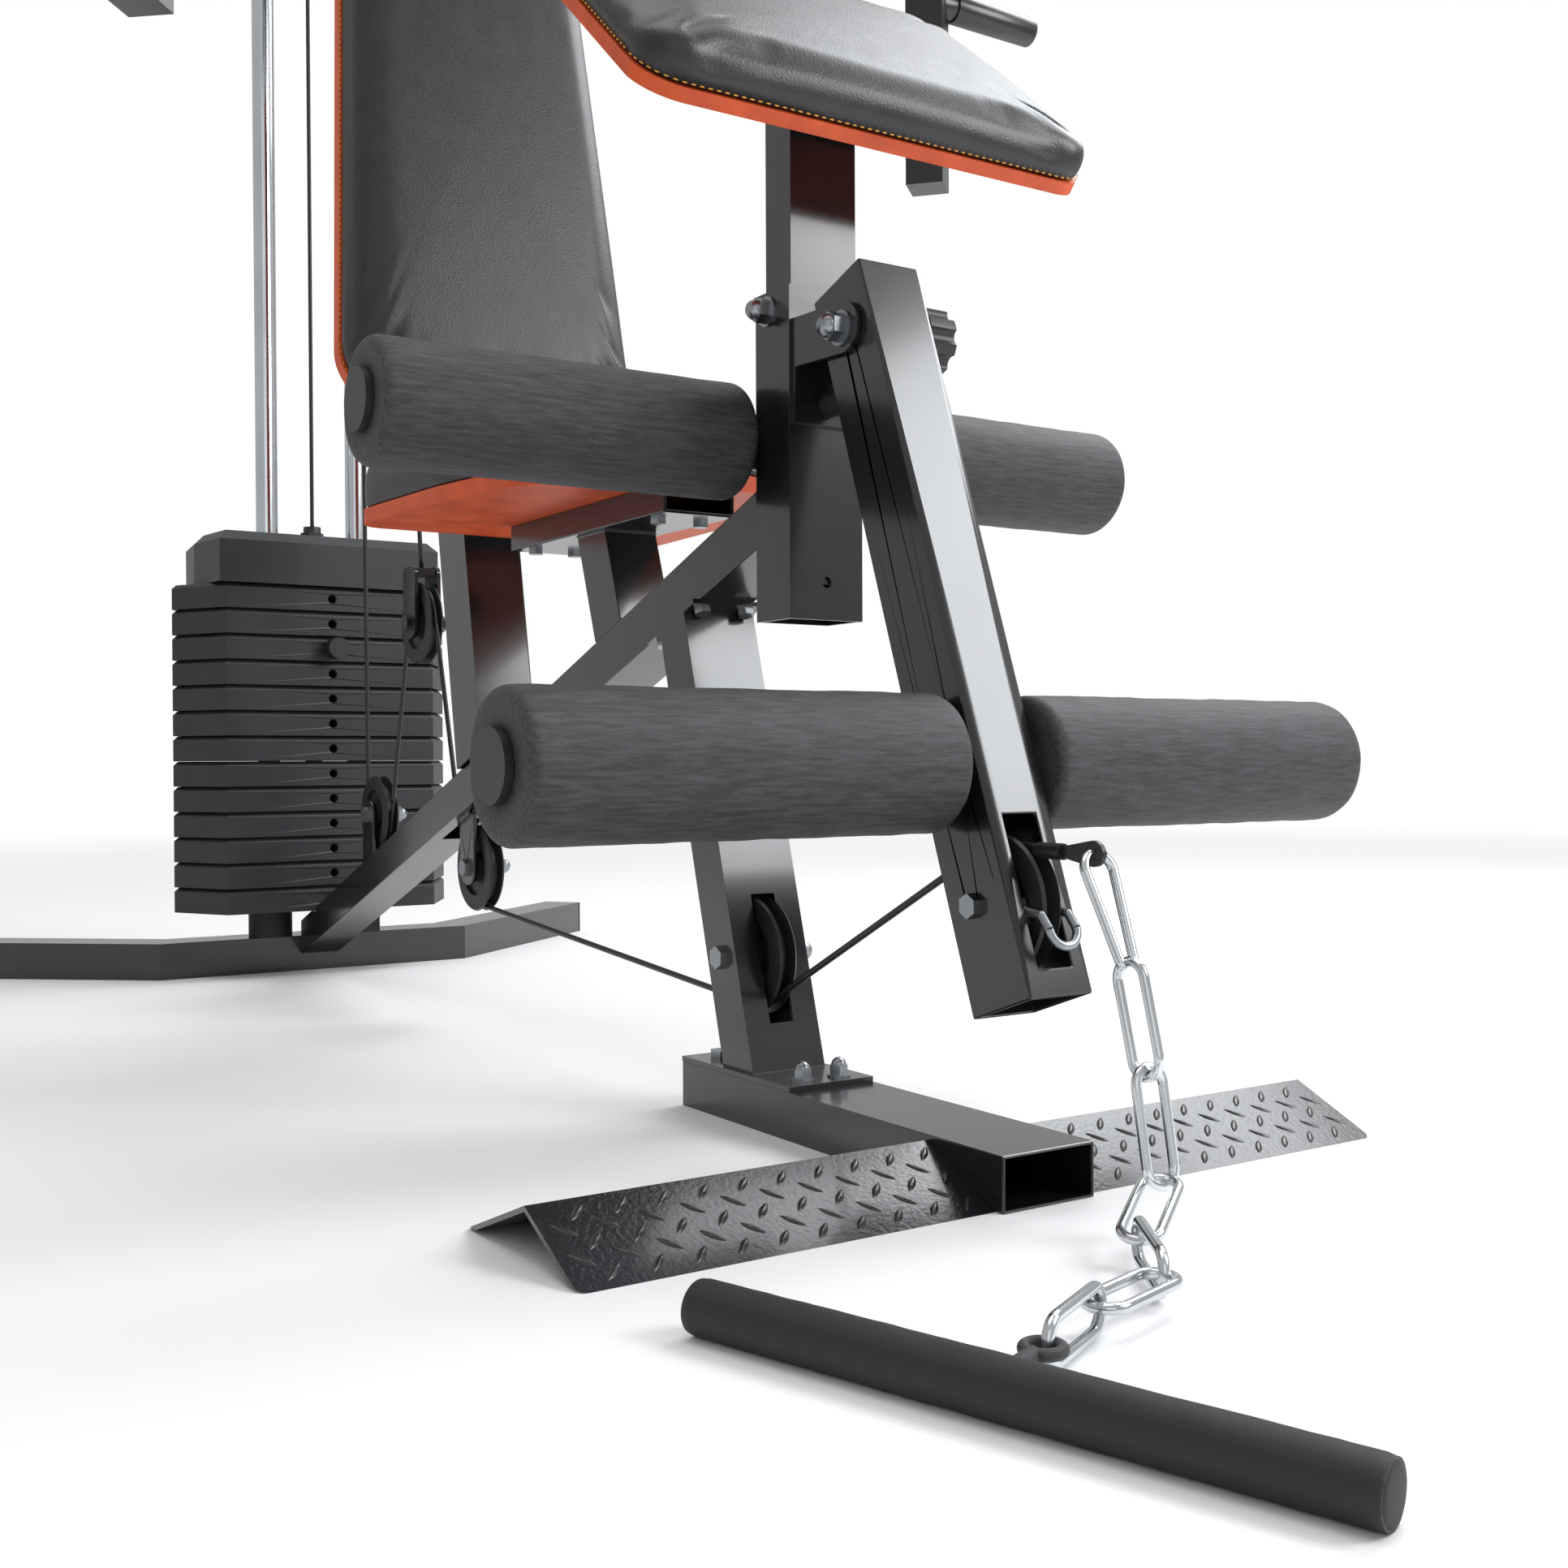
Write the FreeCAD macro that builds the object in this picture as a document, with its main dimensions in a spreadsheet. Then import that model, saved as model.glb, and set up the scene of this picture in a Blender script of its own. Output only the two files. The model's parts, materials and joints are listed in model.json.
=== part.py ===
import FreeCAD, Part
import math
import os
from FreeCAD import Placement, Rotation, Vector

# Home gym station. Millimetres, X to the side, Y to the back, Z up.
# The origin lies on the floor under the front foot tube.

sizes = {
    # Walls and sheets
    "tube_wall": 2.5,
    "sheet_thick": 3,
    "plate_thick": 4,
    "side_plate_thick": 5,
    # Foot tube in front
    "foot_wide": 73.5,
    "foot_high": 34.6,
    "foot_long": 381.5,
    "foot_wall": 2,
    "flange_wide": 73.4,
    "flange_long": 152,
    # Front leg
    "leg_wide": 64.2,
    "leg_deep": 40.7,
    "leg_long": 420,
    "leg_slot_wide": 21,
    "leg_slot_high": 99,
    "beam_bracket_wide": 64,
    "beam_bracket_long": 80,
    # Main beam
    "beam_wide": 50,
    "beam_deep": 40,
    "beam_long": 1340,
    "beam_slot_wide": 20,
    "beam_slot_long": 70,
    # Front post
    "post_wide": 63.2,
    "post_deep": 44,
    "post_high": 236,
    "post_hole": 8,
    "sleeve_outer": 36,
    "sleeve_inner": 25.4,
    "sleeve_long": 63.2,
    # Leg arm
    "arm_wide": 50,
    "arm_deep": 56.3,
    "arm_long": 507.8,
    "arm_slot_wide": 26.6,
    "arm_slot_high": 97.2,
    # Hinge of the leg arm
    "ear_round": 17.5,
    "hinge_pin": 12,
    "hinge_bore": 12.1,
    "knob_round": 46,
    "knob_thick": 22,
    # Rollers and their shafts
    "roller_shaft": 25,
    "roller_bore": 25.6,
    "lower_roller": 88.8,
    "lower_roller_long": 291.8,
    "upper_roller": 85.8,
    "upper_roller_long": 277.4,
    "roller_cap": 42,
    "roller_cap_thick": 5,
    # Pulleys
    "pulley_round": 90,
    "pulley_wide": 17,
    "pulley_bore": 10.1,
    "pulley_axle": 10,
    "cable_round": 5,
    "cable_path": 38.5,
    # Seat
    "seat_post_wide": 50,
    "seat_post_deep": 50,
    "seat_channel_wide": 66,
    "seat_channel_long": 294,
    "seat_channel_high": 23.5,
    "seat_board_thick": 14,
    "preacher_board_thick": 9.5,
    "back_board_thick": 15,
    "back_play": 1,
    # Upright
    "upright_wide": 60,
    "upright_deep": 67,
    # Rear foot
    "rear_foot_deep": 60,
    "rear_foot_high": 45,
    "cap_thick": 4,
    # Weight stack
    "weight_thick": 31.2,
    "weight_pitch": 31.5,
    "head_high": 64,
    "rod_round": 27,
    "rod_bore": 28,
    "bumper_round": 54,
    "bumper_high": 36,
    "stem_round": 22,
    "selector_round": 9,
    "selector_bore": 10,
    # Boom
    # Pressing arms
    "press_tube": 38,
    "press_sleeve": 50,
    "press_pin": 25,
    "press_bore": 25.1,
    "grip_round": 30,
    "grip_long": 105,
    # Hanging bar, chain and floor bar
    "bar_round": 25,
    "bar_grip": 32,
    "chain_wire": 6,
    "link_wide": 21,
    "floor_bar_round": 26,
}

front_foot_y = -295.4
leg_lean = 0.2772
leg_front_y = -10.8
leg_pulley_y = 33.6
leg_pulley_z = 120.5
beam_slope = 0.366
beam_mark_y = 585.8
beam_mark_z = 208.1
beam_front_y = -17.9
post_front_y = -61.9
post_low_z = 370
hinge_y = -122.5
hinge_z = 561.5
arm_lean = 0.3426
roller_along = 350
arm_pulley_along = 441.7
arm_pulley_depth = 32.2
upper_roller_y = 0.16
upper_roller_z = 502.4
upright_slope = 0.186
stack_y = 1114
rod_x = 58.5
stack_low_z = 81.5
lifted_plates = 3
resting_plates = 10
boom_front_y = 235
boom_x = 30
top_pulley_z = 1995
boom_below_axles = 40
boom_above_axles = 30
boom_low_z = top_pulley_z - boom_below_axles
boom_top_z = top_pulley_z + boom_above_axles
press_x = 386.5
press_front_y = 310.4
press_pivot_x = 130
press_pivot_y = 600
press_low_z = 855
press_high_z = 1417
bar_y = 256.5
bar_hang = 145
bar_z = top_pulley_z - bar_hang
rear_front_y = 1095
chain_top_y = -335
chain_top_z = 212
# A length that runs past the whole station, for tools that only cut
far = 1200

document = FreeCAD.newDocument("gym_station")
sheet = document.addObject("Spreadsheet::Sheet", "Sizes")
for row, (word, number) in enumerate(sizes.items(), start=1):
    sheet.set("A" + str(row), word)
    sheet.set("B" + str(row), str(number))
    sheet.setAlias("B" + str(row), word)
document.recompute()

nodes = {}
half_turn = 180
right_angle = 90
whole_turn = 360
tiny = 0.000001


def named(word):
    return "Sizes." + word


def finish(label, item):
    item.Label = label
    nodes[label] = item
    return item


def turned(angle):
    """A turn about X, in radians, that carries +Y towards +Z."""
    return Rotation(Vector(1, 0, 0), math.degrees(angle))


def box(word_x, word_y, word_z, corner, turn=None, about=None):
    """A block bound to three named sizes, set by its low corner."""
    item = document.addObject("Part::Box", "block")
    item.setExpression("Length", word_x if "." in word_x else named(word_x))
    item.setExpression("Width", word_y if "." in word_y else named(word_y))
    item.setExpression("Height", word_z if "." in word_z else named(word_z))
    place = Placement(Vector(*corner), Rotation())
    if turn is not None:
        place = Placement(Vector(*about), turn).multiply(place)
    item.Placement = place
    return item


def plain_box(long, wide, high, corner, turn=None, about=None):
    """A block set by numbers that come from named values."""
    item = document.addObject("Part::Box", "block")
    item.Length = long
    item.Width = wide
    item.Height = high
    place = Placement(Vector(*corner), Rotation())
    if turn is not None:
        place = Placement(Vector(*about), turn).multiply(place)
    item.Placement = place
    return item


def rod(radius, high, start, direction):
    """A round bar from a start point along a direction."""
    item = document.addObject("Part::Cylinder", "round")
    if isinstance(radius, str):
        item.setExpression("Radius", radius)
    else:
        item.Radius = radius
    if isinstance(high, str):
        item.setExpression("Height", high)
    else:
        item.Height = high
    turn = Rotation(Vector(0, 0, 1), Vector(*direction))
    item.Placement = Placement(Vector(*start), turn)
    return item


def half_of(word):
    return named(word) + " / 2"


def span(radius, start, end):
    """A round bar between two points."""
    way = Vector(*end) - Vector(*start)
    return rod(radius, way.Length, start, tuple(way))


def ball(radius, at):
    item = document.addObject("Part::Sphere", "ball")
    item.Radius = radius
    item.Placement = Placement(Vector(*at), Rotation())
    return item


def cut(base, *tools):
    item = document.addObject("Part::Cut", "cut")
    item.Base = base
    item.Tool = tools[0] if len(tools) == 1 else fuse(*tools)
    return item


def fuse(*shapes):
    if len(shapes) == 1:
        return shapes[0]
    item = document.addObject("Part::MultiFuse", "joined")
    item.Shapes = list(shapes)
    return item


def together(*shapes):
    """Several separate solids kept as one object."""
    item = document.addObject("Part::Compound", "set")
    item.Links = list(shapes)
    return item


def inner(word, wall):
    return named(word) + " - 2 * " + named(wall)


def tube(word_x, word_y, word_z, corner, wall="tube_wall", turn=None, about=None):
    """A rectangular tube standing along its own Z, open at both ends."""
    skin = sizes[wall]
    outer = box(word_x, word_y, word_z, corner, turn, about)
    hollow_corner = (corner[0] + skin, corner[1] + skin, corner[2] - skin)
    long = named(word_z) + " + 2 * " + named(wall)
    hollow = box(inner(word_x, wall), inner(word_y, wall), long, hollow_corner, turn, about)
    return cut(outer, hollow)


def rounded(points, radii):
    """Lines and arcs round a closed outline with a radius at every corner."""
    count = len(points)
    corners = []
    for index in range(count):
        here = Vector(*points[index], 0)
        before = Vector(*points[index - 1], 0) - here
        after = Vector(*points[(index + 1) % count], 0) - here
        radius = radii[index]
        if radius <= 0:
            corners.append((here, None, here))
            continue
        half = before.getAngle(after) / 2
        reach = radius / math.tan(half)
        before.normalize()
        after.normalize()
        middle = before + after
        middle.normalize()
        centre = here + middle * (radius / math.sin(half))
        corners.append((here + before * reach, centre - middle * radius, here + after * reach))
    lines = []
    for index in range(count):
        start, along, end = corners[index]
        if along is not None:
            lines.append(Part.Arc(start, along, end))
        follows = corners[(index + 1) % count][0]
        if (follows - end).Length > tiny:
            lines.append(Part.LineSegment(end, follows))
    return lines


def sketch_in(body, geometry, place):
    drawing = body.newObject("Sketcher::SketchObject", "outline")
    drawing.Placement = place
    drawing.addGeometry(geometry, False)
    return drawing


def padded(geometry, place, word):
    """A body with one pad of a named thickness."""
    body = document.addObject("PartDesign::Body", "shape")
    drawing = sketch_in(body, geometry, place)
    pad = body.newObject("PartDesign::Pad", "pad")
    pad.Profile = drawing
    pad.setExpression("Length", word if "." in word else named(word))
    body.Tip = pad
    drawing.Visibility = False
    return body


side_view = Rotation(Vector(0, 1, 0), Vector(0, 0, 1), Vector(1, 0, 0), "ZXY")


def side_place(x):
    """A drawing plane whose axes are Y and Z, at one X."""
    return Placement(Vector(x, 0, 0), side_view)


def axle_place(x, at):
    """The plane in which a piece that turns about X is drawn, its Y along the axle."""
    turn = Rotation(Vector(0, 0, 1), Vector(1, 0, 0), Vector(0, 1, 0), "YZX")
    return Placement(Vector(x, at[1], at[2]), turn)


def flat_place(z):
    return Placement(Vector(0, 0, z), Rotation())


def revolved(profile, place):
    """A body turned once round the drawing's own upright axis."""
    body = document.addObject("PartDesign::Body", "turned")
    drawing = sketch_in(body, rounded(profile, [0] * len(profile)), place)
    turn = body.newObject("PartDesign::Revolution", "turn")
    turn.Profile = drawing
    turn.ReferenceAxis = (drawing, ["V_Axis"])
    turn.Angle = whole_turn
    body.Tip = turn
    drawing.Visibility = False
    return body


def beam_point(along, above):
    """A point by its way back along the beam and its height over the underside."""
    tilt = math.atan(beam_slope)
    y = beam_mark_y + along * math.cos(tilt) + above * math.sin(tilt)
    z = beam_mark_z - along * math.sin(tilt) + above * math.cos(tilt)
    return (0, y, z)


beam_turn = turned(-math.atan(beam_slope))
beam_about = (0, beam_mark_y, beam_mark_z)
leg_turn = turned(-leg_lean)
arm_turn = turned(-arm_lean)
arm_half = sizes["arm_deep"] / 2


def build_front_foot():
    half = sizes["foot_wide"] / 2
    skin = sizes["foot_wall"]
    outer = box("foot_wide", "foot_long", "foot_high", (-half, front_foot_y, 0))
    hollow = box(
        inner("foot_wide", "foot_wall"),
        "foot_long",
        inner("foot_high", "foot_wall"),
        (skin - half, front_foot_y - skin, skin),
    )
    finish("front_foot", cut(outer, hollow))


ridge_y = -223.3
ridge_z = 31.1
tread_front_y = -288.1
tread_rear_y = -142.7
tread_inner_x = 37
tread_outer_x = 311.7
lozenge_long = 20
lozenge_half_wide = 3
lozenge_columns = 10
lozenge_rows = 3
lozenge_step = 27


def lozenge(u, v, angle):
    """Two arcs meeting in points, as pressed into a tread plate."""
    half = lozenge_long / 2
    ax, ay = math.cos(angle), math.sin(angle)
    one = Vector(u - half * ax, v - half * ay, 0)
    two = Vector(u + half * ax, v + half * ay, 0)
    side = Vector(-ay, ax, 0) * lozenge_half_wide
    middle = Vector(u, v, 0)
    return [Part.Arc(one, middle + side, two), Part.Arc(two, middle - side, one)]


def build_tread_plate(label, side):
    """A folded sheet with raised lozenges on both flanges."""
    thick = sizes["sheet_thick"]
    front_run = math.hypot(ridge_y - tread_front_y, ridge_z)
    rear_run = math.hypot(tread_rear_y - ridge_y, ridge_z)
    front_drop = thick * front_run / (ridge_y - tread_front_y)
    lean_front = thick * front_run / ridge_z
    lean_rear = thick * rear_run / ridge_z
    profile = [
        (tread_front_y, 0),
        (ridge_y, ridge_z),
        (tread_rear_y, 0),
        (tread_rear_y - lean_rear, 0),
        (ridge_y, ridge_z - front_drop),
        (tread_front_y + lean_front, 0),
    ]
    body = document.addObject("PartDesign::Body", "tread")
    start = tread_inner_x if side > 0 else -tread_outer_x
    drawing = sketch_in(body, rounded(profile, [0] * len(profile)), side_place(start))
    pad = body.newObject("PartDesign::Pad", "sheet")
    pad.Profile = drawing
    pad.Length = tread_outer_x - tread_inner_x
    drawing.Visibility = False
    flanges = ((tread_front_y, front_run, 1), (tread_rear_y, rear_run, -1))
    for edge_y, run, way in flanges:
        marks = []
        for column in range(lozenge_columns):
            for row in range(lozenge_rows):
                u = tread_inner_x + lozenge_step * (column + 1 / 2)
                v = run * (row + 1 / 2) / lozenge_rows
                angle = math.pi / 4 if (column + row) % 2 else -math.pi / 4
                marks.extend(lozenge(u * side, v, angle))
        up = Vector(0, (ridge_y - edge_y) / run, ridge_z / run)
        across = Vector(1, 0, 0)
        out = across.cross(up) if way > 0 else up.cross(across)
        base = Vector(0, edge_y, 0) - out * (thick / 2)
        turn = Rotation(across, up, across.cross(up), "XYZ")
        marks_drawing = sketch_in(body, marks, Placement(base, turn))
        raised = body.newObject("PartDesign::Pad", "marks")
        raised.Profile = marks_drawing
        raised.Length = thick / 2 + lozenge_rise
        raised.Reversed = way < 0
        marks_drawing.Visibility = False
        body.Tip = raised
    finish(label, body)


lozenge_rise = 1.2
flange_front_y = -66
leg_base_z = 38.6
leg_slot_low_z = 74
beam_bracket_y = 112


def build_front_leg():
    """Leaning tube with a slot for its pulley, a foot flange and a beam bracket."""
    wide = sizes["leg_wide"]
    deep = sizes["leg_deep"]
    skin = sizes["tube_wall"]
    about = (0, leg_front_y, leg_base_z)
    longer = sizes["leg_long"]
    outer = plain_box(wide, deep, longer + deep, (-wide / 2, 0, -deep), leg_turn, about)
    hollow = plain_box(
        wide - 2 * skin, deep - 2 * skin, longer + 3 * deep,
        (skin - wide / 2, skin, -2 * deep), leg_turn, about,
    )
    below = plain_box(4 * wide, 8 * wide, 2 * wide, (-2 * wide, -4 * wide, leg_base_z - 2 * wide))
    under_beam = plain_box(
        4 * wide, 16 * wide, 4 * wide, (-2 * wide, -12 * wide, -sizes["plate_thick"]),
        beam_turn, beam_about,
    )
    slot_wide = sizes["leg_slot_wide"]
    slot = plain_box(
        slot_wide, 3 * deep, sizes["leg_slot_high"],
        (-slot_wide / 2, -deep, leg_slot_low_z - leg_base_z), leg_turn, about,
    )
    pulley_bore = rod(half_of("pulley_axle"), 2 * wide, (-wide, leg_pulley_y, leg_pulley_z), (1, 0, 0))
    stem = cut(outer, hollow, below, under_beam, slot, pulley_bore)
    flange = box(
        "flange_wide", "flange_long", "plate_thick",
        (-sizes["flange_wide"] / 2, flange_front_y, sizes["foot_high"]),
    )
    along = (beam_bracket_y - beam_mark_y) / math.cos(math.atan(beam_slope))
    half = sizes["beam_bracket_long"] / 2
    bracket = box(
        "beam_bracket_wide", "beam_bracket_long", "plate_thick",
        (-sizes["beam_bracket_wide"] / 2, along - half, -sizes["plate_thick"]), beam_turn, beam_about,
    )
    finish("front_leg", fuse(stem, flange, bracket))


beam_slot_along = 29
beam_pulley_y = 568
beam_pulley_z = 160
base_pulley_y = 867
base_pulley_z = 207
pulley_cheek = 11
beam_cheek_high = 57
base_cheek_high = 65
cheek_deep = 36


def cheek(x, y, z, top):
    """An upright bracket plate with a rounded end about a pulley axle."""
    half = cheek_deep / 2
    outline = [(y - half, top), (y + half, top), (y + half, z - half), (y - half, z - half)]
    if top < z:
        outline = [(y - half, top), (y + half, top), (y + half, z + half), (y - half, z + half)]
    lines = rounded(outline, [0, 0, half - 1, half - 1])
    plate = padded(lines, side_place(x), "plate_thick")
    return plate


stack_play = 1.5


def build_main_beam():
    """Sloping tube from the front post to the rear foot, with both pulley brackets."""
    wide = sizes["beam_wide"]
    deep = sizes["beam_deep"]
    skin = sizes["tube_wall"]
    half_long = sizes["beam_long"] / 2
    outer = plain_box(wide, 2 * half_long, deep, (-wide / 2, -half_long, 0), beam_turn, beam_about)
    hollow = plain_box(
        wide - 2 * skin, 4 * half_long, deep - 2 * skin,
        (skin - wide / 2, -2 * half_long, skin), beam_turn, beam_about,
    )
    before_post = plain_box(far, far, far, (-far / 2, beam_front_y - far, 0))
    after_foot = plain_box(far, far, far, (-far / 2, rear_front_y, -far / 2))
    half_slot = sizes["beam_slot_long"] / 2
    slot = plain_box(
        sizes["beam_slot_wide"], 2 * half_slot, 3 * deep,
        (-sizes["beam_slot_wide"] / 2, beam_slot_along - half_slot, -deep), beam_turn, beam_about,
    )
    corner = (-far / 2, stack_y - hex_deep - stack_play, stack_low_z - stack_play)
    under_stack = plain_box(far, far, far, corner)
    stem = cut(outer, hollow, before_post, after_foot, slot, under_stack)
    parts = [stem]
    thick = sizes["plate_thick"]
    bores = []
    for x in (-pulley_cheek - thick, pulley_cheek):
        parts.append(cheek(x, beam_pulley_y, beam_pulley_z, beam_pulley_z + beam_cheek_high))
        parts.append(cheek(x, base_pulley_y, base_pulley_z, base_pulley_z - base_cheek_high))
    for y, z in ((beam_pulley_y, beam_pulley_z), (base_pulley_y, base_pulley_z)):
        bores.append(rod(half_of("pulley_axle"), far, (-far / 2, y, z), (1, 0, 0)))
    clear = plain_box(
        wide - 2 * skin, 2 * half_long, deep - 2 * skin,
        (skin - wide / 2, -half_long, skin), beam_turn, beam_about,
    )
    brackets = cut(fuse(*parts[1:]), clear, *bores)
    finish("main_beam", fuse(stem, brackets))


ear_x = 25.4
ear_low_z = 547
ear_top_z = 581.5
web_low_z = 508
stop_z = 523
stop_round = 18
stop_long = 60
gusset_low_z = 431.5
gusset_drop = 4.5
gusset_top_z = 498
gusset_reach = 14
saddle_wide = 34
saddle_high = 26
post_hole_z = 397
post_bolt_y = -34
post_bolt_z = 592
web_bolt_z = 567
ear_corner = 17
knob_x = 30.6
knob_lobes = 8
knob_dip = 6
knob_dip_out = 2.5
knob_bore_deep = 5


def build_front_post():
    """Upright tube with the sleeve for the roller shaft and its gusset."""
    wide = sizes["post_wide"]
    post = tube("post_wide", "post_deep", "post_high", (-wide / 2, post_front_y, post_low_z))
    at = (-wide / 2, upper_roller_y, upper_roller_z)
    sleeve = rod(half_of("sleeve_outer"), "Sizes.sleeve_long", at, (1, 0, 0))
    bore = rod(half_of("sleeve_inner"), 2 * wide, (-wide, upper_roller_y, upper_roller_z), (1, 0, 0))
    back = post_front_y + sizes["post_deep"]
    gusset_y = upper_roller_y + gusset_reach
    outline = [
        (back, gusset_low_z + gusset_drop), (gusset_y, gusset_low_z),
        (gusset_y, gusset_top_z), (back, gusset_top_z),
    ]
    gusset = padded(rounded(outline, [0] * 4), side_place(-sizes["plate_thick"] / 2), "plate_thick")
    corner = (-wide, -far, 0)
    beam_space = plain_box(2 * wide, 2 * far, sizes["beam_deep"], corner, beam_turn, beam_about)
    gusset = cut(gusset, beam_space, bore)
    half = saddle_high / 2
    corner = (-saddle_wide / 2, back, upper_roller_z - half)
    saddle = plain_box(saddle_wide, upper_roller_y - back, 2 * half, corner)
    skin = sizes["tube_wall"]
    hole = rod(half_of("post_hole"), 2 * skin, (0, post_front_y - skin, post_hole_z), (0, 1, 0))
    bolt_bore = rod(half_of("pulley_axle"), 2 * wide, (-wide, post_bolt_y, post_bolt_z), (1, 0, 0))
    arm_bolt_bore = rod(half_of("hinge_pin"), 4 * skin, (0, post_front_y - 2 * skin, web_bolt_z), (0, 1, 0))
    tube_part = cut(fuse(post, cut(fuse(sleeve, saddle), bore), gusset), hole, bolt_bore, arm_bolt_bore)
    finish("front_post", fuse(tube_part, build_hinge_bracket()))


def build_hinge_bracket():
    """Two ears and a web on the front post that carry the leg arm."""
    thick = sizes["plate_thick"]
    parts = []
    for x in (-ear_x - thick, ear_x):
        outline = [
            (post_front_y, ear_low_z),
            (post_front_y, ear_top_z),
            (hinge_y - sizes["ear_round"], hinge_z + sizes["ear_round"]),
            (hinge_y - sizes["ear_round"], hinge_z - sizes["ear_round"]),
        ]
        parts.append(padded(rounded(outline, [0, 0, ear_corner, ear_corner]), side_place(x), "plate_thick"))
    corner = (-ear_x - thick, post_front_y - thick, web_low_z)
    web = plain_box(2 * ear_x + 2 * thick, thick, ear_top_z - web_low_z, corner)
    bore = rod(half_of("hinge_pin"), far, (-far / 2, hinge_y, hinge_z), (1, 0, 0))
    hollow = rod(half_of("hinge_pin"), 4 * thick, (0, post_front_y - 2 * thick, web_bolt_z), (0, 1, 0))
    return cut(fuse(web, *parts), bore, hollow)


nut_size = 9.5
big_nut_size = 10
mid_nut_size = 9
small_nut_size = 8
foot_nut_size = 7
washer_share = 1.2
washer_thick = 1.6
dome_share = 0.8
head_size = 8.5
head_high = 5.5
low_head_high = 5


def acorn_nut(at, direction, size=nut_size):
    """A hexagon with a domed end and a washer, pointing along a direction."""
    way = Vector(*direction)
    way.normalize()
    start = Vector(*at)
    washer = rod(size * washer_share, washer_thick, tuple(start), direction)
    nut = document.addObject("Part::Prism", "nut")
    nut.Polygon = 6
    nut.Circumradius = size
    nut.Height = size
    turn = Rotation(Vector(0, 0, 1), way)
    nut.Placement = Placement(start + way * washer_thick, turn)
    dome = ball(size * dome_share, tuple(start + way * (washer_thick + size)))
    return [washer, nut, dome]


def hex_head(at, direction, size=head_size, high=head_high):
    way = Vector(*direction)
    head = document.addObject("Part::Prism", "head")
    head.Polygon = 6
    head.Circumradius = size
    head.Height = high
    head.Placement = Placement(Vector(*at), Rotation(Vector(0, 0, 1), way))
    return head


def build_hinge_pin():
    thick = sizes["plate_thick"]
    left = -ear_x - thick
    start = left - thick
    pin = rod(half_of("hinge_pin"), knob_x + thick - start, (start, hinge_y, hinge_z), (1, 0, 0))
    finish("hinge_pin", fuse(pin, *acorn_nut((left, hinge_y, hinge_z), (-1, 0, 0), big_nut_size)))


def build_star_knob():
    """A lobed hand knob on the right end of the hinge pin."""
    radius = sizes["knob_round"] / 2
    lobes = knob_lobes
    start = knob_x
    disc = rod(half_of("knob_round"), "Sizes.knob_thick", (start, hinge_y, hinge_z), (1, 0, 0))
    dips = []
    for index in range(lobes):
        angle = whole_turn * index / lobes
        y = hinge_y + (radius + knob_dip_out) * math.cos(math.radians(angle))
        z = hinge_z + (radius + knob_dip_out) * math.sin(math.radians(angle))
        dips.append(rod(knob_dip, far, (start - far / 2, y, z), (1, 0, 0)))
    depth = knob_bore_deep
    bore = rod(half_of("hinge_bore"), 2 * depth, (start - depth, hinge_y, hinge_z), (1, 0, 0))
    finish("star_knob", cut(disc, bore, *dips))


def build_rubber_stops():
    """The stop behind the leg arm and the buffers under the weight stack."""
    start = post_front_y - sizes["plate_thick"]
    block = rod(stop_round / 2, stop_long, (0, start, stop_z), (0, -1, 0))
    ahead = plain_box(far, far, far, (-far / 2, sizes["arm_deep"] - far, -far), arm_turn, arm_front_top)
    stop = cut(block, ahead)
    parts = [stop]
    for x in (-rod_x, rod_x):
        foot_top = sizes["rear_foot_high"]
        outer = rod(half_of("bumper_round"), "Sizes.bumper_high", (x, stack_y, foot_top), (0, 0, 1))
        bore = rod(half_of("rod_bore"), far, (x, stack_y, 0), (0, 0, 1))
        parts.append(cut(outer, bore))
    finish("rubber_stops", together(*parts))


arm_front_top = (0, -136.2, 606.5)


def arm_point(along, depth, x=0):
    """A point by its way down the leg arm and its depth behind the front face."""
    y = arm_front_top[1] - along * math.sin(arm_lean) + depth * math.cos(arm_lean)
    z = arm_front_top[2] - along * math.cos(arm_lean) - depth * math.sin(arm_lean)
    return (x, y, z)


def build_leg_arm():
    """Square tube with a slotted lower end for its pulley and a bore for the hinge."""
    wide = sizes["arm_wide"]
    deep = sizes["arm_deep"]
    long = sizes["arm_long"]
    skin = sizes["foot_wall"]
    outer = box("arm_wide", "arm_deep", "arm_long", (-wide / 2, 0, -long), arm_turn, arm_front_top)
    corner = (skin - wide / 2, skin, -long - skin)
    hollow = plain_box(wide - 2 * skin, deep - 2 * skin, long, corner, arm_turn, arm_front_top)
    low = -arm_pulley_along - sizes["arm_slot_high"] / 2
    slot = box(
        "arm_slot_wide", "Sizes.arm_deep * 3", "arm_slot_high",
        (-sizes["arm_slot_wide"] / 2, -deep, low), arm_turn, arm_front_top,
    )
    bores = [
        rod(half_of("hinge_bore"), far, (-far / 2, hinge_y, hinge_z), (1, 0, 0)),
        rod(half_of("roller_shaft"), far, arm_point(roller_along, arm_half, -far / 2), (1, 0, 0)),
        rod(half_of("pulley_axle"), far, arm_point(arm_pulley_along, arm_pulley_depth, -far / 2), (1, 0, 0)),
    ]
    boss = rod(hinge_boss, wide - skin, (skin / 2 - wide / 2, hinge_y, hinge_z), (1, 0, 0))
    finish("leg_arm", cut(fuse(cut(outer, hollow), boss), slot, *bores))


hinge_boss = 12
hook_half = 10.7
hook_wire = 2.8
hook_along = 470
hook_out = -14
hook_rise = 10
hook_back = 4
hook_seat = 6
tab_inner_x = 9.5
tab_wide = 12
tab_thick = 4
tab_high = 16


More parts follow.
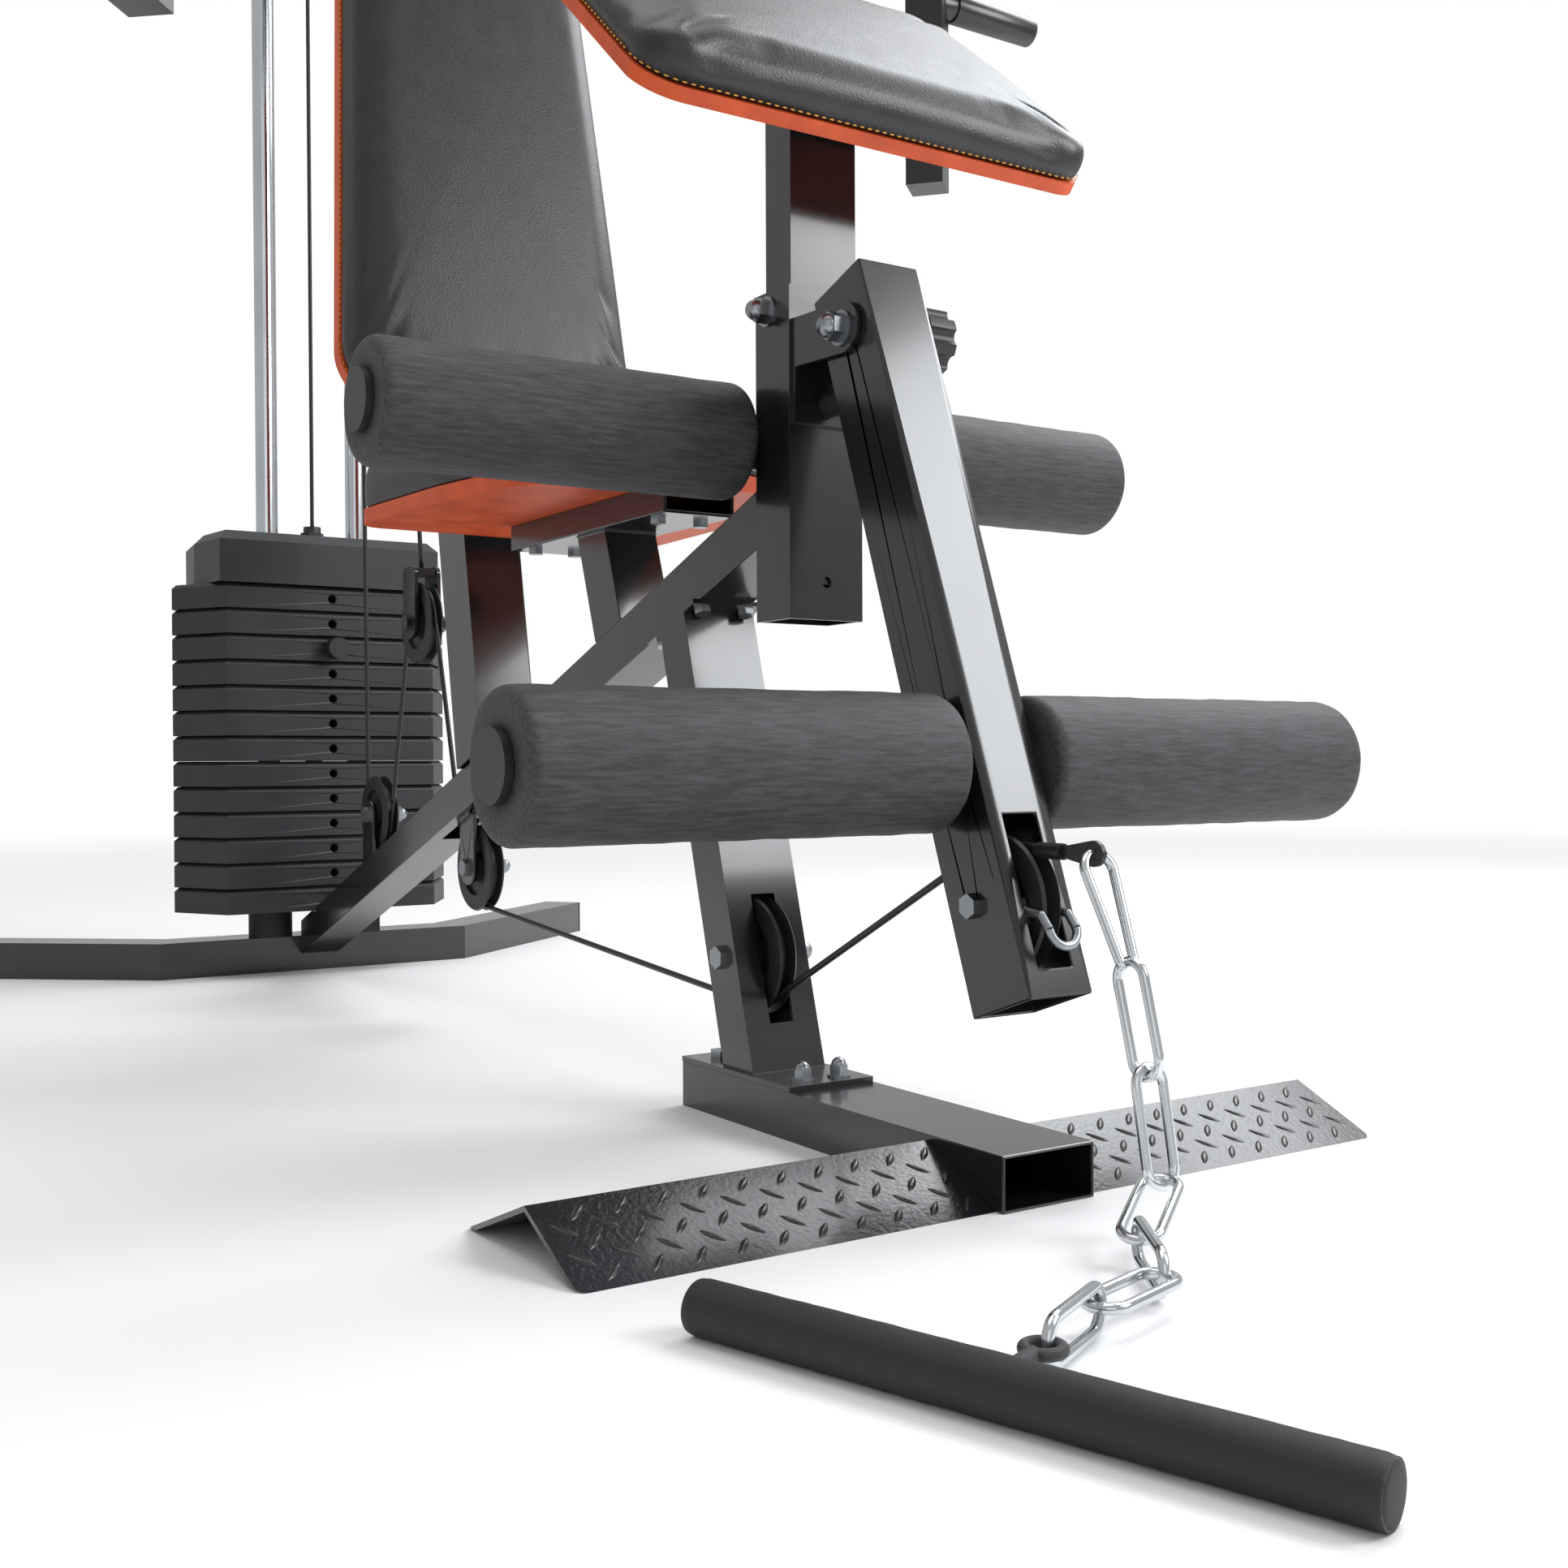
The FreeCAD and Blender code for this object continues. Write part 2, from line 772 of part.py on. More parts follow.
def build_arm_hook():
    """A bent wire hook whose legs come out of the slot of the arm."""
    low = hook_along
    out = hook_out
    at_left = arm_point(low, out, -hook_half)
    at_right = arm_point(low, out, hook_half)
    bend = document.addObject("Part::Torus", "bend")
    bend.Radius1 = hook_half
    bend.Radius2 = hook_wire
    bend.Angle3 = half_turn
    down = Vector(*arm_point(low + 1, out)) - Vector(*arm_point(low, out))
    turn = Rotation(Vector(1, 0, 0), down, Vector(1, 0, 0).cross(down), "XYZ")
    bend.Placement = Placement(Vector(*arm_point(low, out)), turn)
    parts = [bend]
    for x, low_end in ((-hook_half, at_left), (hook_half, at_right)):
        high = arm_point(low - hook_rise, out + hook_back, x)
        into = arm_point(low - hook_rise - hook_seat, sizes["foot_wall"], x)
        parts.append(span(hook_wire, low_end, high))
        parts.append(ball(hook_wire, high))
        parts.append(span(hook_wire, high, into))
    tab_low = hook_rise + hook_seat - low - tab_high / 2
    for x in (-tab_inner_x - tab_wide, tab_inner_x):
        corner = (x, sizes["foot_wall"], tab_low)
        parts.append(plain_box(tab_wide, tab_thick, tab_high, corner, arm_turn, arm_front_top))
    return fuse(*parts)


def build_shafts():
    """Round bars that carry the foam rollers, each with a cap at both ends."""
    caps = (
        ("post_shaft", "post_caps", (0, upper_roller_y, upper_roller_z), upper_inner_x, "upper_roller_long"),
        ("arm_shaft", "arm_caps", arm_point(roller_along, arm_half), lower_inner_x, "lower_roller_long"),
    )
    for shaft, cap_label, at, inner_x, word in caps:
        end = inner_x + sizes[word] + side_play
        finish(shaft, rod(half_of("roller_shaft"), 2 * end, (-end, at[1], at[2]), (1, 0, 0)))
        thick = sizes["roller_cap_thick"]
        left = rod(half_of("roller_cap"), "Sizes.roller_cap_thick", (-end - thick, at[1], at[2]), (1, 0, 0))
        right = rod(half_of("roller_cap"), "Sizes.roller_cap_thick", (end, at[1], at[2]), (1, 0, 0))
        finish(cap_label, together(left, right))


side_play = 0.3
foam_round = 6
upper_inner_x = 41.9
lower_inner_x = 35.1


def build_roller(label, word, long_word, at, inner_x, side):
    """A foam tube with rounded ends, turning on its shaft."""
    outer = sizes[word] / 2
    bore = sizes["roller_bore"] / 2
    long = sizes[long_word]
    soft = foam_round
    start = inner_x if side > 0 else -inner_x - long
    corners = [(bore, 0), (outer, 0), (outer, long), (bore, long)]
    body = document.addObject("PartDesign::Body", "foam")
    place = axle_place(start, at)
    drawing = sketch_in(body, rounded(corners, [0, soft, soft, 0]), place)
    turn = body.newObject("PartDesign::Revolution", "turn")
    turn.Profile = drawing
    turn.ReferenceAxis = (drawing, ["V_Axis"])
    turn.Angle = whole_turn
    body.Tip = turn
    drawing.Visibility = False
    finish(label, body)


pulley_hub = 15
pulley_web = 3.5
rim_inner = 29
rim_set = 1
rim_slope = 1.5
rim_lip = 3
groove_half = 3.1
groove_play = 0.2


def build_pulley(label, at, x=0):
    """A grooved wheel with a hub, a thin web and a bore for its axle."""
    rim = sizes["pulley_round"] / 2
    half = sizes["pulley_wide"] / 2
    bore = sizes["pulley_bore"] / 2
    floor = sizes["cable_path"] - sizes["cable_round"] / 2 - groove_play
    near = [
        (bore, -half), (pulley_hub, -half), (pulley_hub, -pulley_web), (rim_inner, -pulley_web),
        (rim_inner, rim_set - half), (rim - rim_slope, rim_set - half), (rim, rim_lip - half),
        (floor, -groove_half),
    ]
    profile = near + [(radius, -height) for radius, height in reversed(near)]
    place = axle_place(x, at)
    finish(label, revolved(profile, place))


top_front_y = 940
top_rear_y = stack_y - sizes["cable_path"]
lat_pulley_y = 295
split_x = 15
block_y = 727
block_z = 423


def build_pulleys():
    build_pulley("leg_pulley", (0, leg_pulley_y, leg_pulley_z))
    build_pulley("arm_pulley", arm_point(arm_pulley_along, arm_pulley_depth))
    build_pulley("beam_pulley", (0, beam_pulley_y, beam_pulley_z))
    build_pulley("block_wheel", (0, block_y, block_z))
    build_pulley("base_pulley", (0, base_pulley_y, base_pulley_z))
    build_pulley("stack_pulley", (0, top_rear_y, top_pulley_z))
    build_pulley("block_pulley", (0, top_front_y, top_pulley_z), -split_x)
    build_pulley("turn_pulley", (0, top_front_y, top_pulley_z), split_x)
    build_pulley("lat_pulley", (0, lat_pulley_y, top_pulley_z))


axle_spare = 3
spacer_round = 8
spacer_play = 0.4


def axle(at, half_long, nut=mid_nut_size):
    """A bolt through a pulley with a head on the left and a nut on the right."""
    x, y, z = at
    reach = half_long + axle_spare
    bar = rod(half_of("pulley_axle"), 2 * reach, (x - reach, y, z), (1, 0, 0))
    head = hex_head((x - half_long, y, z), (-1, 0, 0), nut)
    end = acorn_nut((x + half_long, y, z), (1, 0, 0), nut)
    return fuse(bar, head, *end)


def spacers(at, outer, inner_half, x=0):
    """Two short sleeves that keep a pulley in the middle of its bracket."""
    pieces = []
    gap = sizes["pulley_wide"] / 2 + spacer_play
    for start, end in ((-inner_half, -gap), (gap, inner_half)):
        pieces.append(rod(outer, end - start, (x + start, at[1], at[2]), (1, 0, 0)))
    return pieces


def build_axles():
    leg = (0, leg_pulley_y, leg_pulley_z)
    half_leg = sizes["leg_wide"] / 2
    skin = sizes["tube_wall"]
    parts = [fuse(axle(leg, half_leg), *spacers(leg, spacer_round, half_leg - skin))]
    for y, z in ((beam_pulley_y, beam_pulley_z), (base_pulley_y, base_pulley_z)):
        parts.append(axle((0, y, z), pulley_cheek + sizes["plate_thick"]))
    side = boom_x + sizes["side_plate_thick"]
    gap = sizes["pulley_wide"] / 2 + spacer_play
    for y, middles in ((top_rear_y, (0,)), (top_front_y, (-split_x, split_x)), (lat_pulley_y, (0,))):
        at = (0, y, top_pulley_z)
        edges = [-boom_x]
        for x in middles:
            edges.extend((x - gap, x + gap))
        edges.append(boom_x)
        pieces = []
        for start, end in zip(edges[::2], edges[1::2]):
            pieces.append(rod(spacer_round, end - start, (start, y, top_pulley_z), (1, 0, 0)))
        parts.append(fuse(axle(at, side), *pieces))
    finish("pulley_axles", together(*parts))
    pulley = arm_point(arm_pulley_along, arm_pulley_depth)
    half_arm = sizes["arm_wide"] / 2
    inside = half_arm - sizes["foot_wall"]
    bolt = fuse(axle(pulley, half_arm, small_nut_size), *spacers(pulley, spacer_round, inside))
    finish("arm_fittings", together(bolt, build_arm_hook()))


def loft_body(outlines, place):
    """A cushion drawn through a row of closed outlines, each at its own height."""
    body = document.addObject("PartDesign::Body", "cushion")
    drawings = []
    for points, radii, height in outlines:
        lifted = place.multiply(Placement(Vector(0, 0, height), Rotation()))
        drawings.append(sketch_in(body, rounded(points, radii), lifted))
    loft = body.newObject("PartDesign::AdditiveLoft", "loft")
    loft.Profile = drawings[0]
    loft.Sections = drawings[1:]
    loft.Ruled = True
    body.Tip = loft
    for drawing in drawings:
        drawing.Visibility = False
    return body


def inset(points, distance):
    """The same outline with every edge moved inwards."""
    count = len(points)
    area = 0
    for index in range(count):
        x1, y1 = points[index]
        x2, y2 = points[(index + 1) % count]
        area += x1 * y2 - x2 * y1
    way = 1 if area > 0 else -1
    edges = []
    for index in range(count):
        x1, y1 = points[index]
        x2, y2 = points[(index + 1) % count]
        run = math.hypot(x2 - x1, y2 - y1)
        nx, ny = -(y2 - y1) / run * way, (x2 - x1) / run * way
        edges.append((x1 + nx * distance, y1 + ny * distance, x2 - x1, y2 - y1))
    moved = []
    for index in range(count):
        ax, ay, adx, ady = edges[index - 1]
        bx, by, bdx, bdy = edges[index]
        cross = adx * bdy - ady * bdx
        t = ((bx - ax) * bdy - (by - ay) * bdx) / cross
        moved.append((ax + adx * t, ay + ady * t))
    return moved


# Share of the height, and the way in from the outline in millimetres
cushion_shares = (
    (0, 3),
    (0.2, 0.6),
    (0.42, 0),
    (0.65, 1.5),
    (0.82, 6),
    (0.92, 13),
    (0.975, 28),
    (1, 60),
)
corner_share = 0.8
least_corner = 5


def cushion(points, radii, base, top, place):
    """Drawn-in foot, full sides, rounded shoulder and a crowned top."""
    rows = []
    for share, distance in cushion_shares:
        smaller = [max(radius - distance * corner_share, least_corner) for radius in radii]
        rows.append((inset(points, distance), smaller, base + (top - base) * share))
    return loft_body(rows, place)


preacher_slope = math.radians(41)
preacher_front_y = -131
preacher_front_z = 683
preacher_long = 240
preacher_half = 186.5
preacher_top_half = 182
preacher_total = 42
preacher_corner = 30
insert_wide = 56.4
insert_deep = 32.4
insert_front_y = -59.2
insert_low_z = 396
board_plate_wide = 110
board_plate_long = 90
board_plate_along = 62


def build_preacher():
    """Sloping elbow pad, its board and the post insert that carries it."""
    turn = turned(preacher_slope)
    place = Placement(Vector(0, preacher_front_y, preacher_front_z), turn)
    points = [
        (-preacher_half, 0), (preacher_half, 0),
        (preacher_top_half, preacher_long), (-preacher_top_half, preacher_long),
    ]
    radii = [preacher_corner] * 4
    board = padded(rounded(points, radii), place, "preacher_board_thick")
    finish("preacher_board", board)
    pad = cushion(points, radii, sizes["preacher_board_thick"], preacher_total, place)
    finish("preacher_pad", pad)
    wide = insert_wide
    deep = insert_deep
    about = (0, preacher_front_y, preacher_front_z)
    outer = plain_box(wide, deep, far, (-wide / 2, insert_front_y, insert_low_z))
    above = plain_box(far, far, far, (-far / 2, -far / 2, 0), turn, about)
    beyond = plain_box(far, far, 2 * far, (-far / 2, -far / 2, preacher_front_z + preacher_long))
    skin = sizes["tube_wall"]
    corner = (skin - wide / 2, insert_front_y + skin, 0)
    hollow = plain_box(wide - 2 * skin, deep - 2 * skin, 2 * far, corner)
    bore = rod(half_of("pulley_axle"), far, (-far / 2, post_bolt_y, post_bolt_z), (1, 0, 0))
    post = cut(outer, above, beyond, hollow, bore)
    thick = sizes["plate_thick"]
    corner = (-board_plate_wide / 2, board_plate_along, -thick)
    plate = plain_box(board_plate_wide, board_plate_long, thick, corner, turn, about)
    inside = plain_box(wide - 2 * skin, deep - 2 * skin, far, (skin - wide / 2, insert_front_y + skin, 0))
    finish("preacher_post", fuse(post, cut(plate, inside)))


seat_edge_y = 233.2
seat_edge_z = 460.9
seat_channel_front_y = 118
seat_rear_y = 490
seat_rear_half = 157
seat_mid_y = 313
seat_mid_half = 146
seat_narrow_y = 200
seat_narrow_half = 128
seat_nose_y = 125
seat_nose_half = 72
seat_rear_corner = 25
seat_corner = 60
seat_slope = 0.353
seat_turn = turned(-math.atan(seat_slope))


def build_seat():
    """Leaning seat post, a channel under the board, the board and the cushion."""
    wide = sizes["seat_post_wide"]
    deep = sizes["seat_post_deep"]
    about = (0, seat_edge_y, seat_edge_z)
    long = far / 2
    outer = plain_box(wide, deep, 2 * long, (-wide / 2, 0, -long), seat_turn, about)
    skin = sizes["tube_wall"]
    hollow = plain_box(
        wide - 2 * skin, deep - 2 * skin, 4 * long, (skin - wide / 2, skin, -2 * long), seat_turn, about,
    )
    above = plain_box(far, far, far, (-far / 2, 0, seat_channel_low))
    below = plain_box(far, 2 * far, far, (-far / 2, -far, sizes["beam_deep"] - far), beam_turn, beam_about)
    post = cut(outer, hollow, above, below)
    half = sizes["seat_channel_wide"] / 2
    corner = (-half, seat_channel_front_y, seat_channel_low)
    plate = box("seat_channel_wide", "seat_channel_long", "seat_channel_high", corner)
    skin = sizes["sheet_thick"]
    hollow = plain_box(2 * half - 2 * skin, far, far, (skin - half, 0, seat_channel_low + skin))
    finish("seat_post", fuse(post, cut(plate, hollow)))
    right = [
        (seat_nose_half, seat_nose_y), (seat_narrow_half, seat_narrow_y),
        (seat_mid_half, seat_mid_y), (seat_rear_half, seat_rear_y),
    ]
    outline = [(-x, y) for x, y in reversed(right)] + right
    radii = [seat_rear_corner] + [seat_corner] * 6 + [seat_rear_corner]
    low = seat_channel_low + sizes["seat_channel_high"]
    finish("seat_board", padded(rounded(outline, radii), flat_place(low), "seat_board_thick"))
    base = low + sizes["seat_board_thick"]
    finish("seat_pad", cushion(outline, radii, base, seat_top_z, flat_place(0)))


seat_channel_low = 467.5
seat_top_z = 562


upright_mark_y = 531
upright_mark_z = 485.7
upright_lean = math.atan(upright_slope)
upright_about = (0, upright_mark_y, upright_mark_z)
upright_top_gap = 4
crosshead_size = 50
crosshead_above = 42
crosshead_end = 30
back_bracket_z = (720, 1180)
back_bracket_high = 30
back_plate_high = 110
back_plate_drop = 40
pin_below = 46
pin_flange = 20
back_low_z = 618
back_high_z = 1290
back_mark_y = 487.7
back_mark_z = 600
back_slope = 0.153
back_half = 157
back_taper = 0.0605
back_corner = 50
back_total = 61
back_lean = math.atan(back_slope)


def upright_front(z):
    return upright_mark_y + upright_slope * (z - upright_mark_z)


def back_front_y(z):
    return back_mark_y + back_slope * (z - back_mark_z)


def build_upright():
    """Leaning main tube with two back brackets and the crosshead of the arms."""
    wide = sizes["upright_wide"]
    deep = sizes["upright_deep"] * math.cos(upright_lean)
    skin = sizes["tube_wall"]
    thick = sizes["side_plate_thick"]
    turn = turned(-upright_lean)
    about = upright_about
    inner_wide = wide - 2 * skin
    inner_deep = deep - 2 * skin
    outer = plain_box(wide, deep, 4 * far, (-wide / 2, 0, -2 * far), turn, about)
    hollow = plain_box(inner_wide, inner_deep, 6 * far, (skin - wide / 2, skin, -3 * far), turn, about)
    above = plain_box(far, far, 6 * far, (-far / 2, 0, boom_top_z - upright_top_gap))
    corner = (-far / 2, -2 * far, sizes["beam_deep"] - 4 * far)
    below = plain_box(far, 4 * far, 4 * far, corner, beam_turn, beam_about)
    post = cut(outer, hollow, above, below)
    clear = plain_box(inner_wide, inner_deep, 6 * far, (skin - wide / 2, skin, -3 * far), turn, about)
    parts = []
    size = crosshead_size
    for z in back_bracket_z:
        back = back_front_y(z + back_bracket_high) + back_total + sizes["back_play"]
        reach = upright_front(z) + deep / 2 - back
        parts.append(plain_box(size, reach, back_bracket_high, (-size / 2, back, z)))
        low = z - back_plate_drop
        corner = (0, back_front_y(low) + back_total, low)
        plate = plain_box(size, thick, back_plate_high, (-size / 2, 0, 0), turned(-back_lean), corner)
        parts.append(plate)
    stem_z = press_high_z + crosshead_above
    reach = upright_front(stem_z) + deep / 2 - press_pivot_y
    parts.append(plain_box(size, reach, size, (-size / 2, press_pivot_y, stem_z)))
    half = press_pivot_x + crosshead_end
    parts.append(plain_box(2 * half, size, size, (-half, press_pivot_y - size / 2, stem_z)))
    pin_low = press_high_z - pin_below
    for x in (-press_pivot_x, press_pivot_x):
        pin_long = stem_z - pin_low + size / 2
        parts.append(rod(half_of("press_pin"), pin_long, (x, press_pivot_y, pin_low), (0, 0, 1)))
        parts.append(rod(pin_flange, thick, (x, press_pivot_y, pin_low - thick), (0, 0, 1)))
    finish("upright", fuse(post, cut(fuse(*parts), clear)))


def build_backrest():
    """Tapered back cushion on its board."""
    low = back_low_z
    high = back_high_z
    points = []
    for z, way in ((low, -1), (low, 1), (high, 1), (high, -1)):
        half = back_half - back_taper * (z - back_mark_z)
        points.append((way * half, (z - low) / math.cos(back_lean)))
    up = Vector(0, math.sin(back_lean), math.cos(back_lean))
    turn = Rotation(Vector(1, 0, 0), up, Vector(0, -1, 0), "XYZ")
    front = back_total * math.cos(back_lean)
    place = Placement(Vector(0, back_front_y(low) + back_total, low), turn)
    radii = [back_corner] * 4
    finish("back_board", padded(rounded(points, radii), place, "back_board_thick"))
    finish("back_pad", cushion(points, radii, sizes["back_board_thick"], front, place))


foot_bend_x = 200
foot_tip_x = 490
foot_tip_y = 1333
foot_tip_spare = 10


def build_rear_foot():
    """Wide bent tube under the weight stack, hollow and closed by end caps."""
    angle = math.atan2(foot_tip_y - rear_front_y, foot_tip_x - foot_bend_x)
    deep = sizes["rear_foot_deep"]
    half = angle / 2

    def band(front, back, longer):
        """Outline of the bent tube between two depths."""
        reach = longer * math.cos(angle)
        rise = longer * math.sin(angle)
        points = []
        for offset, way in ((front, 1), (back, -1)):
            bend_x = foot_bend_x - offset * math.tan(half)
            tip_x = foot_tip_x - offset * math.sin(angle) + reach
            tip_y = foot_tip_y + offset * math.cos(angle) + rise
            row = [
                (-tip_x, tip_y), (-bend_x, rear_front_y + offset),
                (bend_x, rear_front_y + offset), (tip_x, tip_y),
            ]
            points.extend(row if way > 0 else reversed(row))
        return points

    skin = sizes["tube_wall"]
    outside = band(0, deep, 0)
    square = [0] * len(outside)
    outer = padded(rounded(outside, square), flat_place(0), "rear_foot_high")
    inside = band(skin, deep - skin, foot_tip_spare)
    hollow = padded(rounded(inside, square), flat_place(skin), inner("rear_foot_high", "tube_wall"))
    finish("rear_foot", cut(outer, hollow))
    caps = []
    for side in (-1, 1):
        about = (side * foot_tip_x, foot_tip_y, 0)
        turn = Rotation(Vector(0, 0, 1), side * math.degrees(angle))
        thick = sizes["cap_thick"]
        low = 0 if side > 0 else -thick
        caps.append(plain_box(thick, deep, sizes["rear_foot_high"], (low, 0, 0), turn, about))
    finish("foot_caps", together(*caps))


hex_front = 133
hex_side = 178
hex_deep = 79
head_front = 140
head_side = 150
head_deep = 82
plate_bevel = 5
head_bevel = 12
stem_play = 0.6
stem_low_z = 100
stem_above_head = 20
stem_nut = 15
stem_nut_high = 12
cable_bore = 3
selector_long = 95
selector_out = 8
selector_knob = 13
selector_knob_long = 20
selector_neck = 8
selector_neck_long = 6
plates_in_all = 13


def hexagon(front, side, deep):
    return [(-front, -deep), (front, -deep), (side, 0), (front, deep), (-front, deep), (-side, 0)]


def bevelled(body, top_z, size):
    """The pad of a body with a chamfer round its top face."""
    document.recompute()
    pad = body.Tip
    faces = pad.Shape.Faces
    top = [index for index, face in enumerate(faces) if face.CenterOfMass.z > top_z - 1]
    bevel = body.newObject("PartDesign::Chamfer", "bevel")
    bevel.Base = (pad, ["Face" + str(top[0] + 1)])
    bevel.Size = size
    body.Tip = bevel


def weight_plate(low):
    """One hexagonal cast plate with bores for the rods, the stem and the selector pin."""
    place = Placement(Vector(0, stack_y, low), Rotation())
    outline = hexagon(hex_front, hex_side, hex_deep)
    body = padded(rounded(outline, [0] * 6), place, "weight_thick")
    bevelled(body, low + sizes["weight_thick"], plate_bevel)
    tools = []
    long = 4 * sizes["weight_thick"]
    start = low - sizes["weight_thick"]
    for x in (-rod_x, rod_x):
        tools.append(rod(half_of("rod_bore"), long, (x, stack_y, start), (0, 0, 1)))
    stem_bore = sizes["stem_round"] / 2 + stem_play
    tools.append(rod(stem_bore, long, (0, stack_y, start), (0, 0, 1)))
    middle = low + sizes["weight_thick"] / 2
    front = (0, stack_y - 2 * hex_deep, middle)
    tools.append(rod(half_of("selector_bore"), 2 * hex_deep, front, (0, 1, 0)))
    return cut(body, *tools)


stack_top_z = stack_low_z + plates_in_all * sizes["weight_pitch"]
pin_plate_z = stack_low_z + resting_plates * sizes["weight_pitch"] + sizes["weight_thick"] / 2


def build_weights():
    """Ten plates stay down, three and the head plate go up with the stem."""
    resting = []
    lifted = []
    for index in range(resting_plates + lifted_plates):
        low = stack_low_z + index * sizes["weight_pitch"]
        if index < resting_plates:
            resting.append(weight_plate(low))
        else:
            lifted.append(weight_plate(low))
    finish("weights_resting", together(*resting))
    finish("weights_lifted", together(*lifted))
    low = stack_top_z
    high = low + sizes["head_high"]
    place = Placement(Vector(0, stack_y, low), Rotation())
    body = padded(rounded(hexagon(head_front, head_side, head_deep), [0] * 6), place, "head_high")
    bevelled(body, high, head_bevel)
    bores = []
    for x in (-rod_x, rod_x):
        bores.append(rod(half_of("rod_bore"), far, (x, stack_y, 0), (0, 0, 1)))
    cable_hole = rod(cable_bore, far, (0, stack_y, high), (0, 0, 1))
    stem_long = high + stem_above_head - stem_low_z
    stem = rod(half_of("stem_round"), stem_long, (0, stack_y, stem_low_z), (0, 0, 1))
    nut = document.addObject("Part::Prism", "nut")
    nut.Circumradius = stem_nut
    nut.Height = stem_nut_high
    nut.Placement = Placement(Vector(0, stack_y, high), Rotation())
    across_stem = (0, stack_y - sizes["stem_round"], pin_plate_z)
    pin_hole = rod(half_of("selector_bore"), 2 * sizes["stem_round"], across_stem, (0, 1, 0))
    head = cut(body, *bores)
    finish("stack_head", cut(fuse(head, stem, nut), cable_hole, pin_hole))
    face_y = stack_y - hex_deep
    shaft = rod(half_of("selector_round"), selector_long, (0, face_y - selector_out, pin_plate_z), (0, 1, 0))
    neck_y = face_y - 1 - selector_neck_long
    neck = rod(selector_neck, selector_neck_long, (0, neck_y, pin_plate_z), (0, 1, 0))
    knob_y = neck_y - selector_knob_long
    knob = rod(selector_knob, selector_knob_long, (0, knob_y, pin_plate_z), (0, 1, 0))
    finish("selector_pin", fuse(shaft, knob, neck))
    rods = []
    for x in (-rod_x, rod_x):
        low = sizes["rear_foot_high"]
        long = boom_low_z - rod_plate_thick - low
        rods.append(rod(half_of("rod_round"), long, (x, stack_y, low), (0, 0, 1)))
    finish("guide_rods", together(*rods))


rod_plate_thick = 6
rod_plate_wide = 180
rod_plate_deep = 60
boom_past_plate = 21
wheel_notch_play = 3
boom_back_y = stack_y + rod_plate_deep / 2 + boom_past_plate
boom_corner = 20
front_tie_y = 420
tie_from_end = 15
tie_thick = 6
tie_high = 50
tie_above = 10
cable_hole_round = 7


def build_boom():
    """Two side plates on top of the upright and the plate over the guide rods."""
    thick = sizes["side_plate_thick"]
    parts = []
    bores = []
    for y in (top_rear_y, top_front_y, lat_pulley_y):
        bores.append(rod(half_of("pulley_axle"), far, (-far / 2, y, top_pulley_z), (1, 0, 0)))
    for x in (-boom_x - thick, boom_x):
        outline = [
            (boom_front_y, boom_low_z), (boom_back_y, boom_low_z),
            (boom_back_y, boom_top_z), (boom_front_y, boom_top_z),
        ]
        parts.append(padded(rounded(outline, [boom_corner] * 4), side_place(x), "side_plate_thick"))
    corner = (-rod_plate_wide / 2, stack_y - rod_plate_deep / 2, boom_low_z - rod_plate_thick)
    plate = plain_box(rod_plate_wide, rod_plate_deep, rod_plate_thick, corner)
    low = boom_low_z - 2 * rod_plate_thick
    hole = rod(cable_hole_round, 4 * rod_plate_thick, (0, stack_y, low), (0, 0, 1))
    half = sizes["pulley_wide"] / 2 + wheel_notch_play
    corner = (-half, stack_y - rod_plate_deep, low)
    notch = plain_box(2 * half, rod_plate_deep, 4 * rod_plate_thick, corner)
    ties = []
    for y in (front_tie_y, boom_back_y - tie_from_end):
        ties.append(plain_box(2 * boom_x, tie_thick, tie_high, (-boom_x, y, boom_low_z + tie_above)))
    finish("boom", cut(fuse(*parts, plate, *ties), hole, notch, *bores))


sleeve_high = 74
handle_start = 12
handle_round = 12.5
handle_gap = 20
grip_x = 419


def build_press_arms():
    """Two swinging frames hung on the crosshead, each with an outward grip."""
    for label, side in (("press_arm_left", -1), ("press_arm_right", 1)):
        thick = sizes["press_tube"]
        half = thick / 2
        x = side * press_pivot_x
        sleeve_low = press_high_z - sleeve_high / 2
        sleeve = rod(half_of("press_sleeve"), sleeve_high, (x, press_pivot_y, sleeve_low), (0, 0, 1))
        bore_start = (x, press_pivot_y, press_high_z - sleeve_high)
        bore = rod(half_of("press_bore"), 2 * sleeve_high, bore_start, (0, 0, 1))
        reach_x = side * (press_x - press_pivot_x)
        reach_y = press_front_y - press_pivot_y
        along = math.hypot(reach_x, reach_y)
        angle = math.degrees(math.atan2(reach_y, reach_x))
        turn = Rotation(Vector(0, 0, 1), angle)
        about = (x, press_pivot_y, press_high_z)
        bar = plain_box(along, thick, thick, (0, -half, -half), turn, about)
        drop = press_low_z - press_high_z
        about = (side * press_x, press_front_y, press_high_z)
        upright = plain_box(thick, thick, half - drop, (-half, -half, drop), turn, about)
        start = (side * (press_x + handle_start), press_front_y, grip_z)
        handle = rod(handle_round, handle_gap + sizes["grip_long"], start, (side, 0, 0))
        grip_start = (side * grip_x, press_front_y, grip_z)
        grip = rod(half_of("grip_round"), "Sizes.grip_long", grip_start, (side, 0, 0))
        finish(label, cut(fuse(sleeve, bar, upright, handle, grip), bore))


grip_z = 1047
bar_straight_half = 400
bar_end_long = 150
bar_end_drop = 62
grip_start_share = 0.2
grip_end_share = 1.02
bar_ring = 11
bar_ring_wire = 3.5


